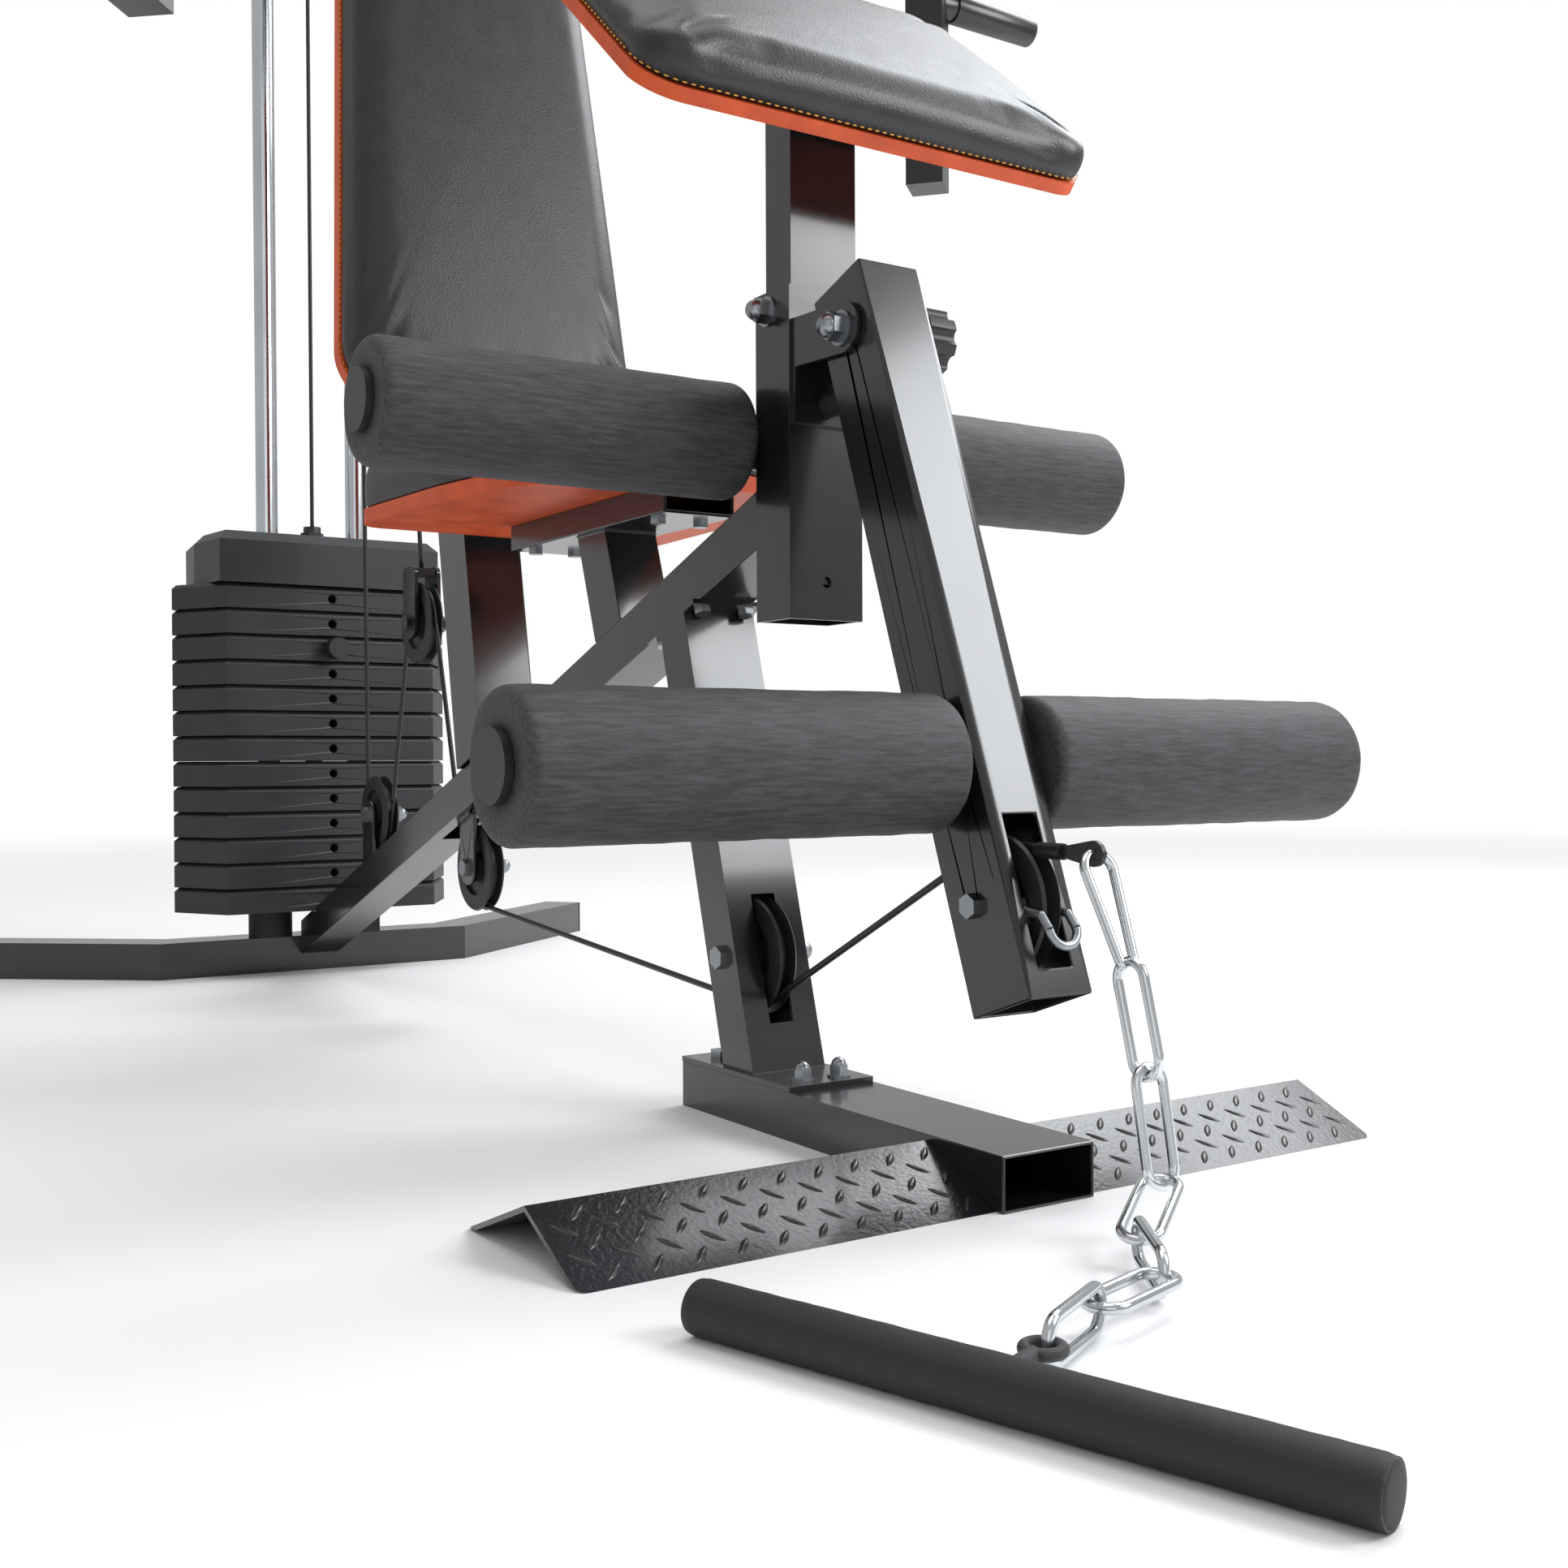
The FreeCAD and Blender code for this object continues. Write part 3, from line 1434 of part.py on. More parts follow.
def build_lat_bar():
    """Long pull-down bar with bent ends and rubber grips."""
    half = bar_straight_half
    radius = sizes["bar_round"] / 2
    parts = [rod(radius, 2 * half, (-half, bar_y, bar_z), (1, 0, 0))]
    for side in (-1, 1):
        bend = (side * half, bar_y, bar_z)
        tip = (side * (half + bar_end_long), bar_y, bar_z - bar_end_drop)
        parts.append(ball(radius, bend))
        parts.append(span(radius, bend, tip))
        way = Vector(*tip) - Vector(*bend)
        start = Vector(*bend) + way * grip_start_share
        end = Vector(*bend) + way * grip_end_share
        parts.append(span(sizes["bar_grip"] / 2, tuple(start), tuple(end)))
    ring = document.addObject("Part::Torus", "ring")
    ring.Radius1 = bar_ring
    ring.Radius2 = bar_ring_wire
    at = Vector(0, bar_y, bar_z + radius + bar_ring)
    ring.Placement = Placement(at, Rotation(Vector(0, 1, 0), right_angle))
    parts.append(ring)
    finish("lat_bar", fuse(*parts))


chain_play = 0.15
clip_small = 5.5
clip_large = 11
link_top = (0, -361.5, 151.5)
chain_joints = [
    (0, -376.6, 93.4),
    (0, -387.5, 34.4),
    (-47, -415, 17),
    (-80, -465, 15),
    (-138, -480, 15),
    (-192, -506, 15),
]


link_faces = ((0, 1, 0), (1, 0, 0), (-0.5, 0.87, 0), (0, 0, 1), (0, 1, 0), (0, 0, 1))


def chain_link(start, end, flat):
    """A welded link of round wire between two joints."""
    wire = sizes["chain_wire"] / 2
    bend = sizes["link_wide"] / 2
    a = Vector(*start)
    b = Vector(*end)
    way = b - a
    long = way.Length
    way.normalize()
    side = Vector(*flat)
    side = side - way * side.dot(way)
    side.normalize()
    normal = side.cross(way)
    reach = wire - chain_play
    parts = []
    centres = (a - way * reach + way * bend, b + way * reach - way * bend)
    for centre, forward in zip(centres, (way * -1, way)):
        bow = document.addObject("Part::Torus", "bow")
        bow.Radius1 = bend
        bow.Radius2 = wire
        bow.Angle3 = half_turn
        right = forward.cross(normal)
        bow.Placement = Placement(centre, Rotation(right, forward, right.cross(forward), "XYZ"))
        parts.append(bow)
    for way_side in (-1, 1):
        offset = side * (bend * way_side)
        parts.append(span(wire, tuple(centres[0] + offset), tuple(centres[1] + offset)))
    return fuse(*parts)


def build_chain():
    """A pear-shaped clip and six links, each turned across its neighbour."""
    joints = [link_top] + chain_joints
    links = []
    for index in range(len(joints) - 1):
        start, end = joints[index], joints[index + 1]
        links.append(chain_link(start, end, link_faces[index]))
    wire = sizes["chain_wire"] / 2
    top = Vector(0, chain_top_y, chain_top_z)
    low = Vector(*link_top)
    way = low - top
    way.normalize()
    side = Vector(1, 0, 0)
    small = clip_small
    large = clip_large
    high_centre = top + way * (large - wire)
    low_centre = low + way * (wire - chain_play) - way * small
    parts = []
    rows = ((high_centre, large, way * -1), (low_centre, small, way))
    for centre, radius, forward in rows:
        bow = document.addObject("Part::Torus", "bow")
        bow.Radius1 = radius
        bow.Radius2 = wire
        bow.Angle3 = half_turn
        bow.Placement = Placement(centre, Rotation(side, forward, side.cross(forward), "XYZ"))
        parts.append(bow)
        for turn in (-1, 1):
            parts.append(ball(wire, tuple(centre + side * (radius * turn))))
    for turn in (-1, 1):
        high = high_centre + side * (large * turn)
        below = low_centre + side * (small * turn)
        parts.append(span(wire, tuple(high), tuple(below)))
    finish("chain", together(fuse(*parts), *links))


bar_left = (-289.5, -371, 13)
bar_right = (-190, -680, 13)
lug_round = 8.5
lug_wire = 3
lug_neck = 4


def build_floor_bar():
    """Short padded bar on the floor with the lug that takes the last link."""
    a = Vector(*bar_left)
    b = Vector(*bar_right)
    way = b - a
    way.normalize()
    middle = Vector(*chain_joints[-1])
    foot = a + way * (middle - a).dot(way)
    out = middle - foot
    out.z = 0
    distance = out.Length
    out.normalize()
    bar = span(sizes["floor_bar_round"] / 2, bar_left, bar_right)
    ring = document.addObject("Part::Torus", "lug")
    ring.Radius1 = lug_round
    ring.Radius2 = lug_wire
    at = foot + out * (distance + lug_wire - chain_play - lug_round)
    at.z = chain_joints[-1][2]
    ring.Placement = Placement(at, Rotation(out, way, Vector(0, 0, 1), "XYZ"))
    parts = [bar, ring]
    parts.append(span(lug_neck, tuple(foot), tuple(at - out * lug_round)))
    finish("floor_bar", fuse(*parts))


post_bolt_x = 31.6
foot_nut_x = 16
foot_nut_y = -52
foot_bolt_x = 14
foot_bolt_y = 66
under_bolt_x = 20
under_bolt_reach = 32
seat_bolt_y = (150, 385)


def build_frame_bolts():
    """The bolts and nuts that hold the frame together."""
    x = post_bolt_x
    left = acorn_nut((-x, post_bolt_y, post_bolt_z), (-1, 0, 0), mid_nut_size)
    right = acorn_nut((x, post_bolt_y, post_bolt_z), (1, 0, 0), mid_nut_size)
    shank = rod(half_of("pulley_axle"), 2 * x, (-x, post_bolt_y, post_bolt_z), (1, 0, 0))
    rows = [fuse(shank, *left, *right)]
    top = sizes["foot_high"] + sizes["plate_thick"]
    for x in (-foot_nut_x, foot_nut_x):
        rows.append(fuse(*acorn_nut((x, foot_nut_y, top), (0, 0, 1), foot_nut_size)))
    for x in (-foot_bolt_x, foot_bolt_x):
        rows.append(hex_head((x, foot_bolt_y, top), (0, 0, 1)))
    web_y = post_front_y - sizes["plate_thick"]
    head = hex_head((0, web_y, web_bolt_z), (0, -1, 0), mid_nut_size, low_head_high)
    rows.append(fuse(head, rod(half_of("hinge_pin"), low_head_high, (0, web_y, web_bolt_z), (0, 1, 0))))
    tilt = math.atan(beam_slope)
    down = (0, -math.sin(tilt), -math.cos(tilt))
    for x in (-under_bolt_x, under_bolt_x):
        for reach in (-under_bolt_reach, under_bolt_reach):
            along = (beam_bracket_y - beam_mark_y) / math.cos(tilt) + reach
            point = beam_point(along, -sizes["plate_thick"])
            rows.append(hex_head((x, point[1], point[2]), down, foot_nut_size, low_head_high))
        for y in seat_bolt_y:
            rows.append(hex_head((x, y, seat_channel_low), (0, 0, -1), foot_nut_size, low_head_high))
    finish("frame_bolts", together(*rows))


def cable_run(edges):
    """A round cable swept along straight runs and arcs given as wire edges."""
    wire = Part.Wire(edges)
    first = wire.OrderedEdges[0]
    start = first.valueAt(first.FirstParameter)
    direction = first.tangentAt(first.FirstParameter)
    ring = Part.Wire([Part.Circle(start, direction, sizes["cable_round"] / 2).toShape()])
    return wire.makePipeShell([ring], True, False)


def tangent_out(centre, radius, point, way):
    """Where a straight run from a wheel reaches a point, in the side view."""
    cy, cz = centre
    py, pz = point
    distance = math.hypot(py - cy, pz - cz)
    base = math.atan2(pz - cz, py - cy)
    spread = math.acos(radius / distance)
    angle = base + way * spread
    return (cy + radius * math.cos(angle), cz + radius * math.sin(angle))


def across(centre_a, centre_b, radius, way_a, way_b):
    """Tangent points of a straight run between two wheels of one size."""
    ay, az = centre_a
    by, bz = centre_b
    base = math.atan2(bz - az, by - ay)
    distance = math.hypot(by - ay, bz - az)
    if way_a == way_b:
        angle = base + way_a * math.pi / 2
        shift = (radius * math.cos(angle), radius * math.sin(angle))
        return (ay + shift[0], az + shift[1]), (by + shift[0], bz + shift[1])
    spread = math.acos(2 * radius / distance)
    one = base + way_a * spread
    return (
        (ay + radius * math.cos(one), az + radius * math.sin(one)),
        (by - radius * math.cos(one), bz - radius * math.sin(one)),
    )


def line(a, b, xa=0, xb=0):
    return Part.LineSegment(Vector(xa, *a), Vector(xb, *b)).toShape()


def arc(centre, a, b, x=0):
    """The part of a wheel that a cable covers between two points."""
    cy, cz = centre
    radius = math.hypot(a[0] - cy, a[1] - cz)
    middle = ((a[0] + b[0]) / 2 - cy, (a[1] + b[1]) / 2 - cz)
    reach = math.hypot(*middle)
    top = (cy + middle[0] / reach * radius, cz + middle[1] / reach * radius)
    return Part.Arc(Vector(x, *a), Vector(x, *top), Vector(x, *b)).toShape()


def as_object(label, shapes):
    item = document.addObject("Part::Feature", "cable")
    item.Shape = shapes[0] if len(shapes) == 1 else Part.makeCompound(shapes)
    finish(label, item)


loop_low_z = 222
eye_run_y = -300
eye_run_z = 214.5
block_top_above = 62
head_play = 6
ring_play = 0.3


def build_cables():
    """The steel cables along their real route, cut where they move."""
    r = sizes["cable_path"]
    leg = (leg_pulley_y, leg_pulley_z)
    arm = arm_point(arm_pulley_along, arm_pulley_depth)[1:]
    beam = (beam_pulley_y, beam_pulley_z)
    block = (block_y, block_z)
    base = (base_pulley_y, base_pulley_z)
    arm_out, leg_in = across(arm, leg, r, 1, -1)
    eye_run = (eye_run_y, eye_run_z)
    arm_in = tangent_out(arm, r, eye_run, -1)
    end = document.addObject("Part::Feature", "cable")
    end.Shape = cable_run([line(eye_run, arm_in), arc(arm, arm_in, arm_out)])
    finish("cable_arm_end", together(end, build_eye_plate()))
    as_object("cable_leg_span", [cable_run([line(arm_out, leg_in)])])
    leg_out, beam_in = across(leg, beam, r, -1, -1)
    beam_out = tangent_out(beam, r, (block_y - r, block_z), -1)
    beam_out, block_in = across(beam, block, r, -1, 1)
    block_out, base_in = across(block, base, r, 1, -1)
    rise = (loop_low_z - beam_out[1]) / (block_in[1] - beam_out[1])
    beam_cut = (beam_out[0] + (block_in[0] - beam_out[0]) * rise, loop_low_z)
    rise = (loop_low_z - base_in[1]) / (block_out[1] - base_in[1])
    base_cut = (base_in[0] + (block_out[0] - base_in[0]) * rise, loop_low_z)
    low = cable_run([
        arc(leg, leg_in, leg_out), line(leg_out, beam_in), arc(beam, beam_in, beam_out), line(beam_out, beam_cut),
    ])
    loop = [line(beam_cut, block_in), arc(block, block_in, block_out), line(block_out, base_cut)]
    as_object("cable_block_loop", [cable_run(loop)])
    turn_back = (top_front_y + r, top_pulley_z)
    climb = tangent_out(base, r, turn_back, -1)
    high = (top_front_y, top_pulley_z + r)
    front = (lat_pulley_y, top_pulley_z + r)
    lat_cut = (lat_pulley_y - r, top_pulley_z)
    turn = (top_front_y, top_pulley_z)
    lat = (lat_pulley_y, top_pulley_z)
    up = cable_run([
        line(base_cut, base_in), arc(base, base_in, climb), line(climb, turn_back, 0, split_x),
    ])
    over = cable_run([
        arc(turn, turn_back, high, split_x), line(high, front, split_x, 0), arc(lat, front, lat_cut),
    ])
    stack = (top_rear_y, top_pulley_z)
    middle = (top_front_y, top_pulley_z)
    stack_cut = (top_rear_y + r, top_pulley_z)
    block_top = (block_y, block_z + block_top_above)
    block_cut = tangent_out(middle, r, block_top, -1)
    back = cable_run([
        arc(stack, stack_cut, (top_rear_y, top_pulley_z + r)),
        line((top_rear_y, top_pulley_z + r), (top_front_y, top_pulley_z + r), 0, -split_x),
        arc(middle, (top_front_y, top_pulley_z + r), block_cut, -split_x),
    ])
    as_object("cable_fixed", [low, up, over, back])
    head_top = stack_top_z + sizes["head_high"] + head_play
    as_object("cable_stack_span", [cable_run([line((stack_y, head_top), stack_cut)])])
    as_object("cable_block_span", [cable_run([line(block_cut, block_top, -split_x, 0)])])
    ring_top = bar_z + sizes["bar_round"] / 2 + 2 * bar_ring + bar_ring_wire + ring_play
    as_object("cable_lat_span", [cable_run([line(lat_cut, (bar_y, ring_top))])])


block_corner = 8
bridge_deep = 30
bridge_high = 8


def build_block():
    """Two cheeks and a pin of the floating pulley block."""
    thick = sizes["plate_thick"]
    parts = []
    for x in (-pulley_cheek - thick, pulley_cheek):
        half = cheek_deep / 2
        high = block_z + block_top_above
        outline = [
            (block_y - half, high), (block_y + half, high),
            (block_y + half, block_z - half), (block_y - half, block_z - half),
        ]
        lines = rounded(outline, [block_corner, block_corner, half - 1, half - 1])
        parts.append(padded(lines, side_place(x), "plate_thick"))
    out = pulley_cheek + thick
    corner = (-out, block_y - bridge_deep / 2, block_z + block_top_above - 2 - bridge_high)
    bridge = plain_box(2 * out, bridge_deep, bridge_high, corner)
    bore = rod(half_of("pulley_axle"), far, (-far / 2, block_y, block_z), (1, 0, 0))
    hole = rod(cable_bore, far, (0, block_y, block_z + sizes["pulley_round"] / 2), (0, 0, 1))
    cheeks = cut(fuse(bridge, *parts), bore, hole)
    finish("pulley_block", fuse(cheeks, axle((0, block_y, block_z), pulley_cheek + thick)))


eye_front_y = -343
eye_neck_y = -312
eye_back_y = -301
eye_half_high = 9.4
neck_half_high = 4
eye_corner = 9
eye_soft = 6
eye_hole = 3.35
chain_pivot_y = -333.8
chain_pivot_z = 214.75
crimp_round = 5
crimp_long = 22
crimp_ahead = 8


def build_eye_plate():
    """Flat end fitting of the low cable with the hole for the spring clip."""
    middle = eye_run_z
    outline = [
        (eye_front_y, middle - eye_half_high), (eye_front_y, middle + eye_half_high),
        (eye_neck_y, middle + neck_half_high), (eye_back_y, middle + neck_half_high),
        (eye_back_y, middle - neck_half_high), (eye_neck_y, middle - neck_half_high),
    ]
    place = side_place(-sizes["sheet_thick"] / 2)
    radii = [eye_corner, eye_corner, eye_soft, 1, 1, eye_soft]
    plate = padded(rounded(outline, radii), place, "sheet_thick")
    hole = rod(eye_hole, far, (-far / 2, chain_pivot_y, chain_pivot_z), (1, 0, 0))
    crimp_start = (0, eye_run_y - crimp_ahead, middle)
    crimp = rod(crimp_round, crimp_long, crimp_start, (0, 1, 0))
    bore = rod(half_of("cable_round"), far, (0, eye_run_y, middle), (0, 1, 0))
    return cut(fuse(cut(plate, hole), crimp), bore)


build_front_foot()
build_tread_plate("tread_plate_left", -1)
build_tread_plate("tread_plate_right", 1)
build_front_leg()
build_main_beam()
build_front_post()
build_hinge_pin()
build_star_knob()
build_rubber_stops()
build_leg_arm()
build_shafts()
upper_at = (0, upper_roller_y, upper_roller_z)
lower_at = arm_point(roller_along, arm_half)
build_roller("upper_roller_left", "upper_roller", "upper_roller_long", upper_at, upper_inner_x, -1)
build_roller("upper_roller_right", "upper_roller", "upper_roller_long", upper_at, upper_inner_x, 1)
build_roller("lower_roller_left", "lower_roller", "lower_roller_long", lower_at, lower_inner_x, -1)
build_roller("lower_roller_right", "lower_roller", "lower_roller_long", lower_at, lower_inner_x, 1)
build_pulleys()
build_axles()
build_preacher()
build_seat()
build_upright()
build_backrest()
build_rear_foot()
build_weights()
build_boom()
build_press_arms()
build_lat_bar()
build_chain()
build_floor_bar()
build_frame_bolts()
build_block()
build_cables()

document.recompute()
wrong = []
for item in document.Objects:
    if "Invalid" in item.State or "Error" in item.State:
        wrong.append(item.Name + " " + item.Label)
for label, item in nodes.items():
    shape = item.Shape
    if shape.isNull() or not shape.isValid():
        wrong.append(label)
if wrong:
    raise RuntimeError("not sound: " + ", ".join(wrong))
os.makedirs("parts", exist_ok=True)
for label, item in nodes.items():
    item.Shape.exportStep("parts/" + label + ".step")
    box_of = item.Shape.BoundBox
    low = [round(number, 1) for number in (box_of.XMin, box_of.YMin, box_of.ZMin)]
    high = [round(number, 1) for number in (box_of.XMax, box_of.YMax, box_of.ZMax)]
    print(label, len(item.Shape.Solids), low, high)
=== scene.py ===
# %% [markdown]
# # Home gym station
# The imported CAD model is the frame. This scene adds the camera of the photograph,
# soft pads, foam, stitching, surface finishes, the floor and the light.

# %% Load the frame
import json
import math

import bmesh
import bpy
from mathutils import Matrix, Vector, noise

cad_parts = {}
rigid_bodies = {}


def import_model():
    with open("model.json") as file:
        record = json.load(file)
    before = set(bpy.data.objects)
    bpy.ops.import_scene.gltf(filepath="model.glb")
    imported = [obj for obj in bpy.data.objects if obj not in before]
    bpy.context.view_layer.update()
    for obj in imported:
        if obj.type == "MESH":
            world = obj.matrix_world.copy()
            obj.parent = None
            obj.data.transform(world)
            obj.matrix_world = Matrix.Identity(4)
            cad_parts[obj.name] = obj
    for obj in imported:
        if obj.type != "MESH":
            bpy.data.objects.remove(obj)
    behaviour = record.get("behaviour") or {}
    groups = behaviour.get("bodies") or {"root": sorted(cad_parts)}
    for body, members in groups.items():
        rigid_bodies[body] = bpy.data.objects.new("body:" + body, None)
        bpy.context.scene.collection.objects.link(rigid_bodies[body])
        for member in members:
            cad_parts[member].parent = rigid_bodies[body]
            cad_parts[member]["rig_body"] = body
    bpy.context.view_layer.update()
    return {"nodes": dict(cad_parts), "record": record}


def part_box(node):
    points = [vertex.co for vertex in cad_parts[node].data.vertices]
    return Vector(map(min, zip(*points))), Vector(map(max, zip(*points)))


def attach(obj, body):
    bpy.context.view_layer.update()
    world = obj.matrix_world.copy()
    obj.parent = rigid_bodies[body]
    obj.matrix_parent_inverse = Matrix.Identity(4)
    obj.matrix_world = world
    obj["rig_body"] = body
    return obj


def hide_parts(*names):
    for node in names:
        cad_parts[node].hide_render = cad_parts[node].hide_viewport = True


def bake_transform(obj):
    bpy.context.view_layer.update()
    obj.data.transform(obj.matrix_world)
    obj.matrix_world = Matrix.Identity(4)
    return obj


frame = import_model()
nodes = frame["nodes"]

# %% [markdown]
# ## Camera
# Yaw, pitch and roll come from the vanishing lines of the tubes in the photograph.

# %% Camera
scene = bpy.context.scene
CAMERA_AT = Vector((-0.6845, -1.0467, 0.2705))
CAMERA_YAW = 0.5813
CAMERA_PITCH = 0.0150
CAMERA_ROLL = -0.0042
CAMERA_LENS = 38.302
SENSOR = 36.0


def camera_axes():
    """Right, up and forward of the camera, worked out from its three angles."""
    level = Vector((math.sin(CAMERA_YAW), math.cos(CAMERA_YAW), 0))
    right = Vector((math.cos(CAMERA_YAW), -math.sin(CAMERA_YAW), 0))
    above = Vector((0, 0, 1))
    forward = level * math.cos(CAMERA_PITCH) - above * math.sin(CAMERA_PITCH)
    up = above * math.cos(CAMERA_PITCH) + level * math.sin(CAMERA_PITCH)
    rolled_right = right * math.cos(CAMERA_ROLL) + up * math.sin(CAMERA_ROLL)
    rolled_up = up * math.cos(CAMERA_ROLL) - right * math.sin(CAMERA_ROLL)
    return rolled_right, rolled_up, forward


right, up, forward = camera_axes()
camera_data = bpy.data.cameras.new("photo_camera")
camera_data.sensor_width = SENSOR
camera_data.lens = CAMERA_LENS
camera_data.clip_start = 0.02
camera_data.clip_end = 60
camera = bpy.data.objects.new("photo_camera", camera_data)
scene.collection.objects.link(camera)
turn = Matrix((right, up, -forward)).transposed().to_4x4()
camera.matrix_world = Matrix.Translation(CAMERA_AT) @ turn
scene.camera = camera
print("camera looks along", [round(c, 3) for c in forward])

# %% [markdown]
# ## Shared effects
# Each group puts out colours, masks, values or normals. The shaders themselves are
# made in the materials below.

# %% Node helpers


def node(tree, kind, **settings):
    """A node with its settings."""
    made = tree.nodes.new(kind)
    for key, value in settings.items():
        setattr(made, key, value)
    return made


def new_group(name, inputs, outputs):
    """An empty node group with named float inputs and typed outputs."""
    tree = bpy.data.node_groups.new(name, "ShaderNodeTree")
    for word, value in inputs:
        socket = tree.interface.new_socket(word, in_out="INPUT", socket_type="NodeSocketFloat")
        socket.default_value = value
    for word, kind in outputs:
        tree.interface.new_socket(word, in_out="OUTPUT", socket_type=kind)
    return tree, node(tree, "NodeGroupInput"), node(tree, "NodeGroupOutput")


def grain_group():
    """Fine bumps and a slow change of gloss, for paint, plastic and rubber."""
    outputs = (("Normal", "NodeSocketVector"), ("Mask", "NodeSocketFloat"))
    tree, start, end = new_group("Fine Grain", (("Scale", 400), ("Strength", 0.2)), outputs)
    place = node(tree, "ShaderNodeTexCoord")
    fine = node(tree, "ShaderNodeTexNoise")
    fine.inputs["Detail"].default_value = 3
    slow = node(tree, "ShaderNodeTexNoise")
    slow.inputs["Scale"].default_value = 9
    bump = node(tree, "ShaderNodeBump")
    bump.inputs["Distance"].default_value = 0.0004
    tree.links.new(place.outputs["Object"], fine.inputs["Vector"])
    tree.links.new(place.outputs["Object"], slow.inputs["Vector"])
    tree.links.new(start.outputs["Scale"], fine.inputs["Scale"])
    tree.links.new(start.outputs["Strength"], bump.inputs["Strength"])
    tree.links.new(fine.outputs["Fac"], bump.inputs["Height"])
    tree.links.new(bump.outputs["Normal"], end.inputs["Normal"])
    tree.links.new(slow.outputs["Fac"], end.inputs["Mask"])
    return tree


def leather_group():
    """Pebbled vinyl: small cells with soft creases between them."""
    outputs = (("Normal", "NodeSocketVector"), ("Mask", "NodeSocketFloat"))
    tree, start, end = new_group("Pebbled Vinyl", (("Scale", 620), ("Strength", 0.35)), outputs)
    place = node(tree, "ShaderNodeTexCoord")
    cells = node(tree, "ShaderNodeTexVoronoi", feature="SMOOTH_F1")
    creases = node(tree, "ShaderNodeTexNoise")
    creases.inputs["Scale"].default_value = 38
    creases.inputs["Detail"].default_value = 5
    blend = node(tree, "ShaderNodeMath", operation="MULTIPLY_ADD")
    blend.inputs[1].default_value = 0.6
    bump = node(tree, "ShaderNodeBump")
    bump.inputs["Distance"].default_value = 0.0007
    tree.links.new(place.outputs["Object"], cells.inputs["Vector"])
    tree.links.new(place.outputs["Object"], creases.inputs["Vector"])
    tree.links.new(start.outputs["Scale"], cells.inputs["Scale"])
    tree.links.new(start.outputs["Strength"], bump.inputs["Strength"])
    tree.links.new(cells.outputs["Distance"], blend.inputs[0])
    tree.links.new(creases.outputs["Fac"], blend.inputs[2])
    tree.links.new(blend.outputs[0], bump.inputs["Height"])
    tree.links.new(bump.outputs["Normal"], end.inputs["Normal"])
    tree.links.new(creases.outputs["Fac"], end.inputs["Mask"])
    return tree


def streak_group():
    """Long streaks along X, as skived foam shows, with pores between them."""
    outputs = (("Normal", "NodeSocketVector"), ("Mask", "NodeSocketFloat"))
    tree, start, end = new_group("Foam Streaks", (("Strength", 0.5),), outputs)
    place = node(tree, "ShaderNodeTexCoord")
    stretch = node(tree, "ShaderNodeMapping")
    stretch.inputs["Scale"].default_value = (42, 400, 400)
    streaks = node(tree, "ShaderNodeTexNoise")
    streaks.inputs["Scale"].default_value = 1
    streaks.inputs["Detail"].default_value = 6
    streaks.inputs["Roughness"].default_value = 0.7
    pores = node(tree, "ShaderNodeTexNoise")
    pores.inputs["Scale"].default_value = 900
    mixed = node(tree, "ShaderNodeMath", operation="MULTIPLY_ADD")
    mixed.inputs[1].default_value = 0.45
    bump = node(tree, "ShaderNodeBump")
    bump.inputs["Distance"].default_value = 0.0014
    tree.links.new(place.outputs["Object"], stretch.inputs["Vector"])
    tree.links.new(stretch.outputs["Vector"], streaks.inputs["Vector"])
    tree.links.new(place.outputs["Object"], pores.inputs["Vector"])
    tree.links.new(pores.outputs["Fac"], mixed.inputs[0])
    tree.links.new(streaks.outputs["Fac"], mixed.inputs[2])
    tree.links.new(mixed.outputs[0], bump.inputs["Height"])
    tree.links.new(start.outputs["Strength"], bump.inputs["Strength"])
    tree.links.new(bump.outputs["Normal"], end.inputs["Normal"])
    tree.links.new(streaks.outputs["Fac"], end.inputs["Mask"])
    return tree


GRAIN = grain_group()
LEATHER = leather_group()
STREAKS = streak_group()
print("node groups", [group.name for group in bpy.data.node_groups])

# %% [markdown]
# ## Materials
# One material for each of the record's slots. Colours are written as sRGB and turned
# into linear light here.

# %% Material helpers


def linear(hexed):
    """An sRGB colour as linear light."""
    channels = [int(hexed[start:start + 2], 16) / 255 for start in (1, 3, 5)]
    return [c / 12.92 if c <= 0.04045 else ((c + 0.055) / 1.055) ** 2.4 for c in channels] + [1]


